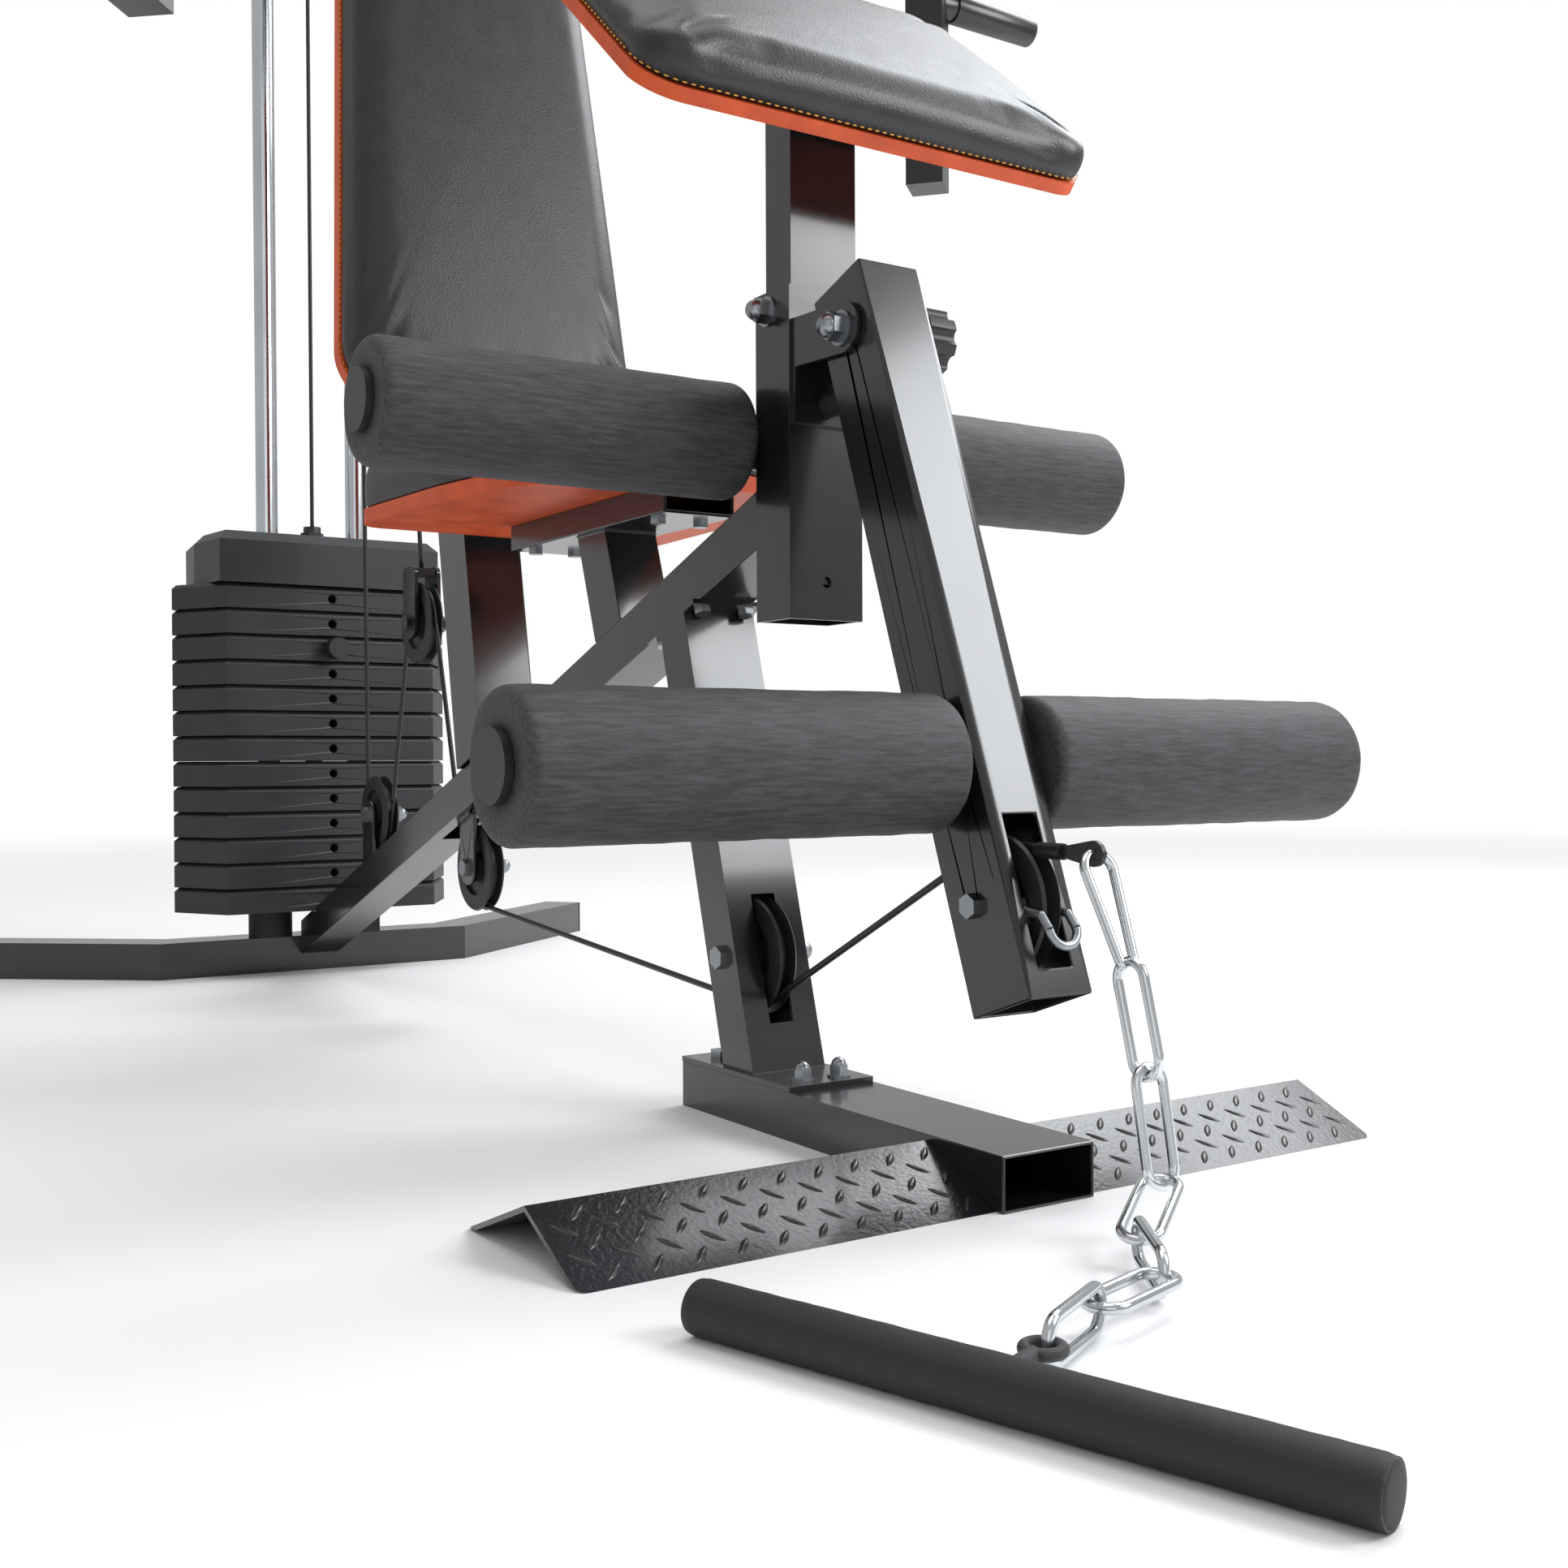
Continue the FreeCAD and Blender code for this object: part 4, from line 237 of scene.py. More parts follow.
def surface(name, dark, light, rough, effect, metallic=0.0, coat=0.0, low=0.3, high=0.7, **sockets):
    """A Principled material whose colour and gloss follow the mask of a shared effect."""
    material = bpy.data.materials.new(name)
    material.use_nodes = True
    tree = material.node_tree
    shader = tree.nodes["Principled BSDF"]
    group = node(tree, "ShaderNodeGroup", node_tree=effect)
    for key, value in sockets.items():
        group.inputs[key.capitalize()].default_value = value
    ramp = node(tree, "ShaderNodeValToRGB")
    ramp.color_ramp.elements[0].position = low
    ramp.color_ramp.elements[1].position = high
    ramp.color_ramp.elements[0].color = linear(dark)
    ramp.color_ramp.elements[1].color = linear(light)
    gloss = node(tree, "ShaderNodeMapRange")
    gloss.inputs["To Min"].default_value = rough - 0.04
    gloss.inputs["To Max"].default_value = rough + 0.06
    tree.links.new(group.outputs["Mask"], ramp.inputs["Fac"])
    tree.links.new(group.outputs["Mask"], gloss.inputs["Value"])
    tree.links.new(ramp.outputs["Color"], shader.inputs["Base Color"])
    tree.links.new(gloss.outputs["Result"], shader.inputs["Roughness"])
    tree.links.new(group.outputs["Normal"], shader.inputs["Normal"])
    shader.inputs["Metallic"].default_value = metallic
    shader.inputs["Coat Weight"].default_value = coat
    shader.inputs["Coat Roughness"].default_value = 0.12
    return material


# %% Materials
MATERIALS = {
    "gloss_black_steel": surface(
        "gloss_black_steel", "#111214", "#17181b", 0.22, GRAIN, coat=0.5, scale=700, strength=0.05),
    "black_tread_sheet": surface(
        "black_tread_sheet", "#131417", "#1e2024", 0.26, GRAIN, coat=0.4, scale=330, strength=1.0),
    "zinc_steel": surface(
        "zinc_steel", "#8a8d90", "#a4a7aa", 0.30, GRAIN, metallic=1.0, scale=500, strength=0.1),
    "chrome_steel": surface(
        "chrome_steel", "#c6cacf", "#d4d8dc", 0.12, GRAIN, metallic=1.0, scale=300, strength=0.02),
    "bright_chain": surface(
        "bright_chain", "#c0c3c6", "#dadddf", 0.17, GRAIN, metallic=1.0, scale=420, strength=0.08),
    "black_rubber": surface(
        "black_rubber", "#161617", "#1f1f20", 0.62, GRAIN, scale=900, strength=0.3),
    "black_plastic": surface(
        "black_plastic", "#18191b", "#212224", 0.42, GRAIN, scale=900, strength=0.12),
    "black_upholstery": surface(
        "black_upholstery", "#1b1c1e", "#242528", 0.38, LEATHER, scale=620, strength=0.35),
    "orange_board": surface(
        "orange_board", "#b8400f", "#d2521a", 0.5, LEATHER, scale=500, strength=0.25),
    "foam": surface(
        "foam", "#262628", "#4c4c4f", 0.60, STREAKS, low=0.38, high=0.74, strength=0.55),
    "cast_weight": surface(
        "cast_weight", "#1b1c1f", "#26272b", 0.42, GRAIN, scale=500, strength=0.25),
    "press_black": surface(
        "press_black", "#131416", "#1a1b1e", 0.30, GRAIN, coat=0.15, scale=700, strength=0.06),
    "black_cable": surface(
        "black_cable", "#131314", "#1d1d1e", 0.4, GRAIN, scale=900, strength=0.1),
}
stitch_yellow = surface("stitch_thread", "#c98a1e", "#e0a235", 0.55, GRAIN, scale=900, strength=0.2)

slots = {row["node"]: row["material_slot"] for row in frame["record"]["subparts"]}
for name, piece in nodes.items():
    piece.data.materials.clear()
    piece.data.materials.append(MATERIALS[slots[name]])
print("materials", len(bpy.data.materials))

# %% [markdown]
# ## Softened steel edges
# Real tubes and plates have small radii that catch the light.

# %% Edges
EDGE = 0.0012
edged = (
    "front_foot", "front_leg", "main_beam", "front_post", "leg_arm", "upright", "seat_post",
    "rear_foot", "weights_resting", "weights_lifted", "stack_head", "press_arm_left",
    "press_arm_right", "preacher_post", "boom",
)
for name in edged:
    piece = nodes[name]
    weld = piece.modifiers.new("weld", "WELD")
    weld.merge_threshold = 0.00001
    bevel = piece.modifiers.new("edges", "BEVEL")
    bevel.width = EDGE
    bevel.segments = 2
    bevel.limit_method = "ANGLE"
    bevel.angle_limit = math.radians(40)
    bevel.harden_normals = False
print("edged", len(edged))

# %% [markdown]
# ## Helpers for meshes
# Most pieces are rings of points joined by quads.

# %% Mesh helpers


def bridge(shape, rings):
    """Quads between each ring of points and the next one."""
    for first, second in zip(rings, rings[1:]):
        for index in range(len(first)):
            after = (index + 1) % len(first)
            shape.faces.new((first[index], first[after], second[after], second[index]))


def cap_ends(shape, rings):
    """One face over each end of a row of rings."""
    shape.faces.new(list(reversed(rings[0])))
    shape.faces.new(rings[-1])


def face_outwards(shape):
    """All faces turned to the outside."""
    bmesh.ops.recalc_face_normals(shape, faces=shape.faces)


def as_mesh(shape, name):
    """The finished shape as a mesh."""
    mesh = bpy.data.meshes.new(name)
    shape.to_mesh(mesh)
    shape.free()
    return mesh


def add_object(name, mesh, material, smooth=True):
    """A mesh object in the scene, shaded smooth unless it says otherwise."""
    piece = bpy.data.objects.new(name, mesh)
    scene.collection.objects.link(piece)
    mesh.materials.append(material)
    if smooth:
        for face in mesh.polygons:
            face.use_smooth = True
    return piece


print("mesh helpers ready")

# %% [markdown]
# ## Foam rollers
# Each foam sleeve is a turned profile with rounded ends and slight unevenness.

# %% Rollers
ROLLER_SIDES = 96
ROLLER_ROWS = 40
ROLLER_BORE = 0.0129
ROLLER_ROUND = 0.007
ROLLER_ROUND_STEPS = 6
ROLLER_WAVE = 0.0006
ROLLER_WAVE_SCALE = 55


def roller_profile(low_x, high_x, radius):
    """Distances along X and radii, from one end of the bore round to the other."""
    edge = []
    for step in range(ROLLER_ROUND_STEPS + 1):
        angle = math.pi / 2 * step / ROLLER_ROUND_STEPS
        inward = ROLLER_ROUND * (1 - math.sin(angle))
        edge.append((inward, radius - ROLLER_ROUND * (1 - math.cos(angle))))
    edge.reverse()
    profile = [(low_x, ROLLER_BORE)] + [(low_x + x, r) for x, r in edge]
    straight = high_x - low_x - 2 * ROLLER_ROUND
    for row in range(1, ROLLER_ROWS):
        profile.append((low_x + ROLLER_ROUND + straight * row / ROLLER_ROWS, radius))
    return profile + [(high_x - x, r) for x, r in reversed(edge)] + [(high_x, ROLLER_BORE)]


def foam_sleeve(name, cad):
    """A foam tube along X that stands in for a CAD roller."""
    low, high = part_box(cad)
    middle = (low + high) / 2
    shape = bmesh.new()
    rings = []
    for x, r in roller_profile(low.x, high.x, (high.z - low.z) / 2):
        ring = []
        for side in range(ROLLER_SIDES):
            angle = 2 * math.pi * side / ROLLER_SIDES
            point = Vector((x, middle.y + r * math.cos(angle), middle.z + r * math.sin(angle)))
            if r > ROLLER_BORE:
                push = noise.noise(point * ROLLER_WAVE_SCALE) * ROLLER_WAVE - ROLLER_WAVE
                point.y += push * math.cos(angle)
                point.z += push * math.sin(angle)
            ring.append(shape.verts.new(point))
        rings.append(ring)
    bridge(shape, rings + rings[:1])
    face_outwards(shape)
    piece = add_object(name, as_mesh(shape, name), MATERIALS["foam"])
    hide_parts(cad)
    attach(piece, nodes[cad]["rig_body"])


rollers = ("upper_roller_left", "upper_roller_right", "lower_roller_left", "lower_roller_right")
for cad in rollers:
    foam_sleeve(cad + "_foam", cad)
print("rollers made", len(rollers))

# %% [markdown]
# ## Upholstered pads
# A pad starts from its outline: the sides are drawn in towards the board, the shoulder
# is rounded and the top is crowned. Cloth with inner pressure then fills it, and its
# lower rim stays where the board is.

# %% Pad shapes
PAD_SETTLE_FRAMES = 20
PAD_MOST = 0.004
PAD_RIM = 0.008
PAD_SPACING = 0.008
PAD_LEAST_POINTS = 48
PAD_CORNER_STEPS = 8
PAD_CROWN_STEPS = 14
PAD_CROWN_FROM = 0.95
SEAM_HIGH = 0.0030
TINY = 1e-9

# Share of the height, and distance drawn in from the outline.
PAD_ROWS = (
    (0.0, 0.006), (0.0, 0.003), (0.12, 0.0012), (0.30, 0.0), (0.50, 0.0004), (0.66, 0.0022),
    (0.78, 0.0055), (0.86, 0.0105), (0.915, 0.017), (PAD_CROWN_FROM, 0.026),
)


def corner_arc(before, here, after, radius):
    """Points of a rounded corner between two straight sides."""
    one = (before - here).normalized()
    two = (after - here).normalized()
    half = one.angle(two) / 2
    reach = radius / math.tan(half)
    centre = here + (one + two).normalized() * (radius / math.sin(half))
    start = here + one * reach - centre
    end = here + two * reach - centre
    turn_by = math.atan2(start.x * end.y - start.y * end.x, start.dot(end))
    points = []
    for step in range(PAD_CORNER_STEPS + 1):
        angle = turn_by * step / PAD_CORNER_STEPS
        c, s = math.cos(angle), math.sin(angle)
        points.append(centre + Vector((start.x * c - start.y * s, start.x * s + start.y * c)))
    return points


def lengths_along(points):
    """Running length at each point of a closed outline, and its whole length last."""
    lengths = [0.0]
    for first, second in zip(points, points[1:] + points[:1]):
        lengths.append(lengths[-1] + (second - first).length)
    return lengths


def rounded_outline(corners, radii):
    """A closed outline with rounded corners and evenly spread points."""
    rough = []
    count = len(corners)
    for index in range(count):
        here = Vector(corners[index])
        before = Vector(corners[index - 1])
        after = Vector(corners[(index + 1) % count])
        rough.extend(corner_arc(before, here, after, radii[index]))
    lengths = lengths_along(rough)
    total = lengths[-1]
    pieces = max(PAD_LEAST_POINTS, int(total / PAD_SPACING))
    points = []
    place = 0
    closed = rough + rough[:1]
    for index in range(pieces):
        target = total * index / pieces
        while lengths[place + 1] < target:
            place += 1
        part = (target - lengths[place]) / max(lengths[place + 1] - lengths[place], TINY)
        points.append(closed[place].lerp(closed[place + 1], part))
    return points


def drawn_in(points, distance):
    """The outline moved inwards along its own normals."""
    moved = []
    count = len(points)
    area = sum(a.x * b.y - b.x * a.y for a, b in zip(points, points[1:] + points[:1]))
    way = 1 if area > 0 else -1
    for index in range(count):
        along = points[(index + 1) % count] - points[index - 1]
        inward = Vector((-along.y, along.x)).normalized() * way
        moved.append(points[index] + inward * distance)
    return moved


def flat_ring(shape, points, height, place):
    """A ring of mesh points at one height over the board."""
    return [shape.verts.new(place @ Vector((p.x, p.y, height))) for p in points]


def pad_mesh(name, outline, base, top, place):
    """Rings from the seam over the shoulder to the crown, closed by a fan of triangles."""
    high = top - base
    shape = bmesh.new()
    rings = []
    for share, distance in PAD_ROWS:
        rings.append(flat_ring(shape, drawn_in(outline, distance), base + high * share, place))
    inner = drawn_in(outline, PAD_ROWS[-1][1])
    centre = sum(inner, Vector((0, 0))) / len(inner)
    for step in range(1, PAD_CROWN_STEPS):
        part = step / PAD_CROWN_STEPS
        lift = PAD_CROWN_FROM + (1 - PAD_CROWN_FROM) * math.sin(part * math.pi / 2)
        closer = [p.lerp(centre, part) for p in inner]
        rings.append(flat_ring(shape, closer, base + high * lift, place))
    bridge(shape, rings)
    tip = shape.verts.new(place @ Vector((centre.x, centre.y, top)))
    last = rings[-1]
    for index in range(len(last)):
        shape.faces.new((last[index], last[(index + 1) % len(last)], tip))
    shape.faces.new(list(reversed(rings[0])))
    face_outwards(shape)
    return as_mesh(shape, name)


def settle(piece, base, place):
    """Fills the pad with pressure while its rim stays on the board."""
    rest = [vertex.co.copy() for vertex in piece.data.vertices]
    back = place.inverted()
    rim = piece.vertex_groups.new(name="rim")
    held = [v.index for v in piece.data.vertices if (back @ v.co).z < base + PAD_RIM]
    rim.add(held, 1.0, "REPLACE")
    cloth = piece.modifiers.new("fill", "CLOTH")
    cloth.settings.quality = 5
    cloth.settings.mass = 0.4
    cloth.settings.tension_stiffness = 30
    cloth.settings.compression_stiffness = 8
    cloth.settings.bending_stiffness = 1.2
    cloth.settings.use_pressure = True
    cloth.settings.uniform_pressure_force = 3.0
    cloth.settings.vertex_group_mass = "rim"
    cloth.settings.effector_weights.gravity = 0
    cloth.point_cache.frame_start = 1
    cloth.point_cache.frame_end = PAD_SETTLE_FRAMES
    for step in range(1, PAD_SETTLE_FRAMES + 1):
        scene.frame_set(step)
    view = bpy.context.evaluated_depsgraph_get()
    shaped = piece.evaluated_get(view).to_mesh()
    ends = [vertex.co.copy() for vertex in shaped.vertices]
    piece.evaluated_get(view).to_mesh_clear()
    piece.modifiers.remove(cloth)
    scene.frame_set(1)
    for vertex, start, end in zip(piece.data.vertices, rest, ends):
        push = end - start
        if push.length > PAD_MOST:
            push *= PAD_MOST / push.length
        vertex.co = start + push
    piece.data.update()


STITCH_LONG = 0.0042
STITCH_GAP = 0.0020
STITCH_ROUND = 0.00055
STITCH_SIDES = 6
STITCH_RINGS = 4


def stitches(name, outline, height, place):
    """Small capsules of thread in a row round the side of a pad."""
    shape = bmesh.new()
    pitch = STITCH_LONG + STITCH_GAP
    lengths = lengths_along(outline)
    closed = outline + outline[:1]
    side = 0
    for index in range(int(lengths[-1] / pitch)):
        target = index * pitch
        while lengths[side + 1] < target:
            side += 1
        run = max(lengths[side + 1] - lengths[side], TINY)
        spot = closed[side].lerp(closed[side + 1], (target - lengths[side]) / run)
        along = (closed[side + 1] - closed[side]).normalized()
        x_axis = Vector((along.x, along.y, 0))
        z_axis = Vector((0, 0, 1))
        y_axis = z_axis.cross(x_axis)
        basis = Matrix((x_axis, y_axis, z_axis)).transposed().to_4x4()
        shift = Matrix.Translation(Vector((spot.x, spot.y, height)))
        grow = Matrix.Diagonal((STITCH_LONG / 2, STITCH_ROUND, STITCH_ROUND, 1))
        bmesh.ops.create_uvsphere(
            shape, u_segments=STITCH_SIDES, v_segments=STITCH_RINGS, radius=1,
            matrix=place @ shift @ basis @ grow)
    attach(add_object(name, as_mesh(shape, name), stitch_yellow), "station_frame")


def build_pad(label, cad, corners, radii, base, top, place, with_stitches):
    """One pad and, where the photograph shows it, its stitching."""
    outline = rounded_outline(corners, radii)
    mesh = pad_mesh(label, outline, base, top, place)
    piece = add_object(label, mesh, MATERIALS["black_upholstery"])
    settle(piece, base, place)
    smooth = piece.modifiers.new("smooth", "SUBSURF")
    smooth.levels = 1
    smooth.render_levels = 1
    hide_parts(cad)
    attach(piece, "station_frame")
    if with_stitches:
        stitches(label + "_stitches", outline, base + SEAM_HIGH, place)
    print(label, "has", len(mesh.vertices), "points")


# %% [markdown]
# ## The three pads
# The numbers are the driving sizes of the pads, the same as in the part's source.

# %% Elbow pad
PREACHER_SLOPE = math.radians(41)
PREACHER_FRONT = Vector((0, -0.131, 0.683))
PREACHER_HALF = 0.1865
PREACHER_TOP_HALF = 0.182
PREACHER_LONG = 0.240
PREACHER_CORNER = 0.030
PREACHER_BASE = 0.0095
PREACHER_TOP = 0.042
preacher_place = Matrix.Translation(PREACHER_FRONT) @ Matrix.Rotation(PREACHER_SLOPE, 4, "X")
preacher_corners = [
    (-PREACHER_HALF, 0), (PREACHER_HALF, 0),
    (PREACHER_TOP_HALF, PREACHER_LONG), (-PREACHER_TOP_HALF, PREACHER_LONG),
]
build_pad(
    "elbow_pad_cover", "preacher_pad", preacher_corners, [PREACHER_CORNER] * 4,
    PREACHER_BASE, PREACHER_TOP, preacher_place, True)

# %% Seat pad
seat_corners = [
    (-0.157, 0.490), (-0.146, 0.313), (-0.128, 0.200), (-0.072, 0.125),
    (0.072, 0.125), (0.128, 0.200), (0.146, 0.313), (0.157, 0.490),
]
seat_radii = [0.025, 0.060, 0.060, 0.060, 0.060, 0.060, 0.060, 0.025]
seat_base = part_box("seat_board")[1].z
build_pad(
    "seat_cover", "seat_pad", seat_corners, seat_radii, seat_base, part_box("seat_pad")[1].z,
    Matrix.Identity(4), False)

# %% Back pad
BACK_RUN = 0.153
BACK_LEAN = math.atan(BACK_RUN)
BACK_TOTAL = 0.061
BACK_LOW = 0.618
BACK_HIGH = 1.290
BACK_CORNER = 0.050
BACK_BASE = 0.015
# The lean and the taper start at this height.
BACK_FROM_Z = 0.6
BACK_FRONT_Y = 0.4877
BACK_HALF = 0.157
BACK_TAPER = 0.0605
back_front_y = BACK_FRONT_Y + BACK_RUN * (BACK_LOW - BACK_FROM_Z)
back_corners = []
for height, side in ((BACK_LOW, -1), (BACK_LOW, 1), (BACK_HIGH, 1), (BACK_HIGH, -1)):
    half = BACK_HALF - BACK_TAPER * (height - BACK_FROM_Z)
    back_corners.append((side * half, (height - BACK_LOW) / math.cos(BACK_LEAN)))
back_axes = Matrix((
    (1, 0, 0),
    (0, math.sin(BACK_LEAN), -math.cos(BACK_LEAN)),
    (0, math.cos(BACK_LEAN), math.sin(BACK_LEAN)),
)).to_4x4()
back_place = Matrix.Translation(Vector((0, back_front_y + BACK_TOTAL, BACK_LOW))) @ back_axes
build_pad(
    "back_cover", "back_pad", back_corners, [BACK_CORNER] * 4,
    BACK_BASE, BACK_TOTAL * math.cos(BACK_LEAN), back_place, True)

# %% [markdown]
# ## Foam sleeve of the floor bar

# %% Floor bar sleeve
BAR_RADIUS = 0.013
BAR_LEFT = Vector((-0.2895, -0.371, BAR_RADIUS))
BAR_RIGHT = Vector((-0.190, -0.680, BAR_RADIUS))
SLEEVE_PROUD = 0.0006
SLEEVE_SIDES = 48
SLEEVE_ROWS = 60
SLEEVE_WAVE = 0.0003
SLEEVE_WAVE_SCALE = 90
SLEEVE_LIFT = 0.0001
# Distance along the bar from its end, and how far the radius is drawn in there.
SLEEVE_END = ((-0.0008, 0.004), (-0.0003, 0.0018), (0.0010, 0.0005), (0.004, 0.0))


def bar_sleeve(name):
    """A foam skin round the floor bar, with rounded ends."""
    radius = BAR_RADIUS + SLEEVE_PROUD
    along = (BAR_RIGHT - BAR_LEFT).normalized()
    side = along.cross(Vector((0, 0, 1))).normalized()
    upward = side.cross(along)
    long = (BAR_RIGHT - BAR_LEFT).length
    end = [(x, radius - drawn) for x, drawn in SLEEVE_END]
    rows = end + [(long * step / SLEEVE_ROWS, radius) for step in range(1, SLEEVE_ROWS)]
    rows += [(long - x, r) for x, r in reversed(end)]
    shape = bmesh.new()
    rings = []
    for x, r in rows:
        ring = []
        for index in range(SLEEVE_SIDES):
            angle = 2 * math.pi * index / SLEEVE_SIDES
            out = side * math.cos(angle) + upward * math.sin(angle)
            point = BAR_LEFT + along * x + out * r
            point += out * (noise.noise(point * SLEEVE_WAVE_SCALE) * SLEEVE_WAVE)
            point.z = max(point.z, SLEEVE_LIFT)
            ring.append(shape.verts.new(point))
        rings.append(ring)
    bridge(shape, rings)
    cap_ends(shape, rings)
    face_outwards(shape)
    piece = add_object(name, as_mesh(shape, name), MATERIALS["black_rubber"])
    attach(piece, "chain_and_bar")


bar_sleeve("floor_bar_sleeve")
print("floor bar sleeve made")

# %% [markdown]
# ## Tread plates
# The pressed marks are low domes in two directions, on a grid whose second half sits
# between the first. The sheet keeps the folded profile of the CAD plate.

# %% Tread plates
TREAD_PITCH = 0.0264
TREAD_ROWS = 3
TREAD_MARK_LONG = 0.0175
TREAD_MARK_WIDE = 0.0052
TREAD_MARK_HIGH = 0.0013
TREAD_MARK_STEPS = 8
TREAD_MARK_CUTS = 6
TREAD_MARK_LEAST = 0.0001
TREAD_THICK = 0.003
TREAD_CORNER = 0.007
TREAD_CORNER_STEPS = 8
TREAD_FRONT_Y = -0.2881
TREAD_REAR_Y = -0.1427
TREAD_SINK = 0.0002
TREAD_FIRST = 0.42
TREAD_END_SPACE = 0.010
RIDGE_Y = -0.2233
RIDGE_Z = 0.0311


def tread_mark(shape, centre, along, across, out):
    """One lens-shaped dome, a little sunk into the sheet."""
    rows = []
    for step in range(TREAD_MARK_STEPS + 1):
        s = -1 + 2 * step / TREAD_MARK_STEPS
        wide = TREAD_MARK_WIDE / 2 * (1 - s * s) + TREAD_MARK_LEAST
        high = TREAD_MARK_HIGH * math.sqrt(max(0.0, 1 - s * s))
        row = []
        for cut in range(TREAD_MARK_CUTS + 1):
            c = -1 + 2 * cut / TREAD_MARK_CUTS
            spot = centre + along * (s * TREAD_MARK_LONG / 2) + across * (c * wide)
            row.append(shape.verts.new(spot + out * (high * (1 - c * c) - TREAD_SINK)))
        rows.append(row)
    for first, second in zip(rows, rows[1:]):
        for cut in range(TREAD_MARK_CUTS):
            face = shape.faces.new((first[cut], first[cut + 1], second[cut + 1], second[cut]))
            face.smooth = True


def tread_sheet(shape, x_in, x_out):
    """The folded sheet with its outer corners rounded, as rings along X."""
    way = 1 if x_out > x_in else -1
    stations = [(x_in, 0.0)]
    for step in range(TREAD_CORNER_STEPS + 1):
        angle = math.pi / 2 * step / TREAD_CORNER_STEPS
        gone = TREAD_CORNER * (1 - math.cos(angle))
        stations.append((x_out - way * TREAD_CORNER * (1 - math.sin(angle)), gone))
    rings = []
    for x, gone in stations:
        points = [(RIDGE_Y, RIDGE_Z)]
        for edge_y in (TREAD_REAR_Y, TREAD_FRONT_Y):
            run = Vector((RIDGE_Y - edge_y, RIDGE_Z))
            up = run.normalized()
            point = Vector((edge_y, 0.0)) + up * gone
            inside = point + Vector((math.copysign(TREAD_THICK / up.y, up.x), 0.0))
            pair = [tuple(point), tuple(inside)]
            points += pair if edge_y == TREAD_REAR_Y else pair[::-1]
            drop = TREAD_THICK / abs(up.x)
        points.insert(3, (RIDGE_Y, RIDGE_Z - drop))
        rings.append([shape.verts.new((x, y, z)) for y, z in points])
    bridge(shape, rings)
    for ring in (rings[0], rings[-1]):
        shape.faces.new((ring[0], ring[1], ring[2], ring[3]))
        shape.faces.new((ring[0], ring[3], ring[4], ring[5]))


def tread_plate(label, cad):
    """A folded tread plate with its marks, standing in for the CAD plate."""
    low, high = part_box(cad)
    x_in, x_out = (low.x, high.x) if high.x > -low.x else (high.x, low.x)
    way = 1 if x_out > x_in else -1
    ridge = Vector((0, RIDGE_Y, RIDGE_Z))
    shape = bmesh.new()
    tread_sheet(shape, x_in, x_out)
    face_outwards(shape)
    for edge_y in (TREAD_FRONT_Y, TREAD_REAR_Y):
        edge = Vector((0, edge_y, 0))
        run = (ridge - edge).length
        up = (ridge - edge).normalized()
        x_axis = Vector((1, 0, 0))
        out = x_axis.cross(up)
        if out.z < 0:
            out = -out
        columns = int(abs(x_out - x_in) / TREAD_PITCH)
        for half in (0, 1):
            turn = math.pi / 4 * (1 if half == 0 else -1)
            along = x_axis * math.cos(turn) + up * math.sin(turn)
            across = x_axis * -math.sin(turn) + up * math.cos(turn)
            for column in range(columns):
                for row in range(TREAD_ROWS - half):
                    x = x_in + way * TREAD_PITCH * (column + TREAD_FIRST + half / 2)
                    v = run * (row + 0.5 + half / 2) / TREAD_ROWS
                    if abs(x_out - x) > TREAD_END_SPACE:
                        tread_mark(shape, Vector((x, 0, 0)) + edge + up * v, along, across, out)
    piece = add_object(label, as_mesh(shape, label), MATERIALS["black_tread_sheet"], False)
    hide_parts(cad)
    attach(piece, "station_frame")


tread_plate("tread_left", "tread_plate_left")
tread_plate("tread_right", "tread_plate_right")
print("tread plates made")

# %% [markdown]
# ## Cables
# Each span stands in for a CAD cable.

# %% Cables
CABLE_RADIUS = 0.0025
CABLE_SIDES = 12
CABLE_PARTS = 60
LOOP_SIDE_PARTS = 30
LOOP_TOP_PARTS = 40


def cable_tube(name, points, cad):
    """A round tube along points."""
    shape = bmesh.new()
    rings = []
    for index, point in enumerate(points):
        before = points[max(index - 1, 0)]
        after = points[min(index + 1, len(points) - 1)]
        along = (after - before).normalized()
        first = along.cross(Vector((1, 0, 0))).normalized()
        second = along.cross(first)
        ring = []
        for side in range(CABLE_SIDES):
            angle = 2 * math.pi * side / CABLE_SIDES
            out = first * math.cos(angle) + second * math.sin(angle)
            ring.append(shape.verts.new(point + out * CABLE_RADIUS))
        rings.append(ring)
    bridge(shape, rings)
    cap_ends(shape, rings)
    face_outwards(shape)
    piece = add_object(name, as_mesh(shape, name), MATERIALS["black_cable"])
    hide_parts(cad)
    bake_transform(piece)


def between(first, second, count=CABLE_PARTS):
    """Evenly spread points of a straight run."""
    return [first.lerp(second, index / count) for index in range(count + 1)]


def straight_ends(cad, top_side):
    """Both ends of a straight cable, from its box; top_side is -1 or 1 along Y at the top."""
    low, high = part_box(cad)
    lean = math.atan2(high.y - low.y - 2 * CABLE_RADIUS, high.z - low.z)
    reach_y = CABLE_RADIUS * math.cos(lean)
    reach_z = CABLE_RADIUS * math.sin(lean)
    top_y = high.y - reach_y if top_side > 0 else low.y + reach_y
    low_y = low.y + reach_y if top_side > 0 else high.y - reach_y
    return Vector((0, low_y, low.z + reach_z)), Vector((0, top_y, high.z - reach_z))


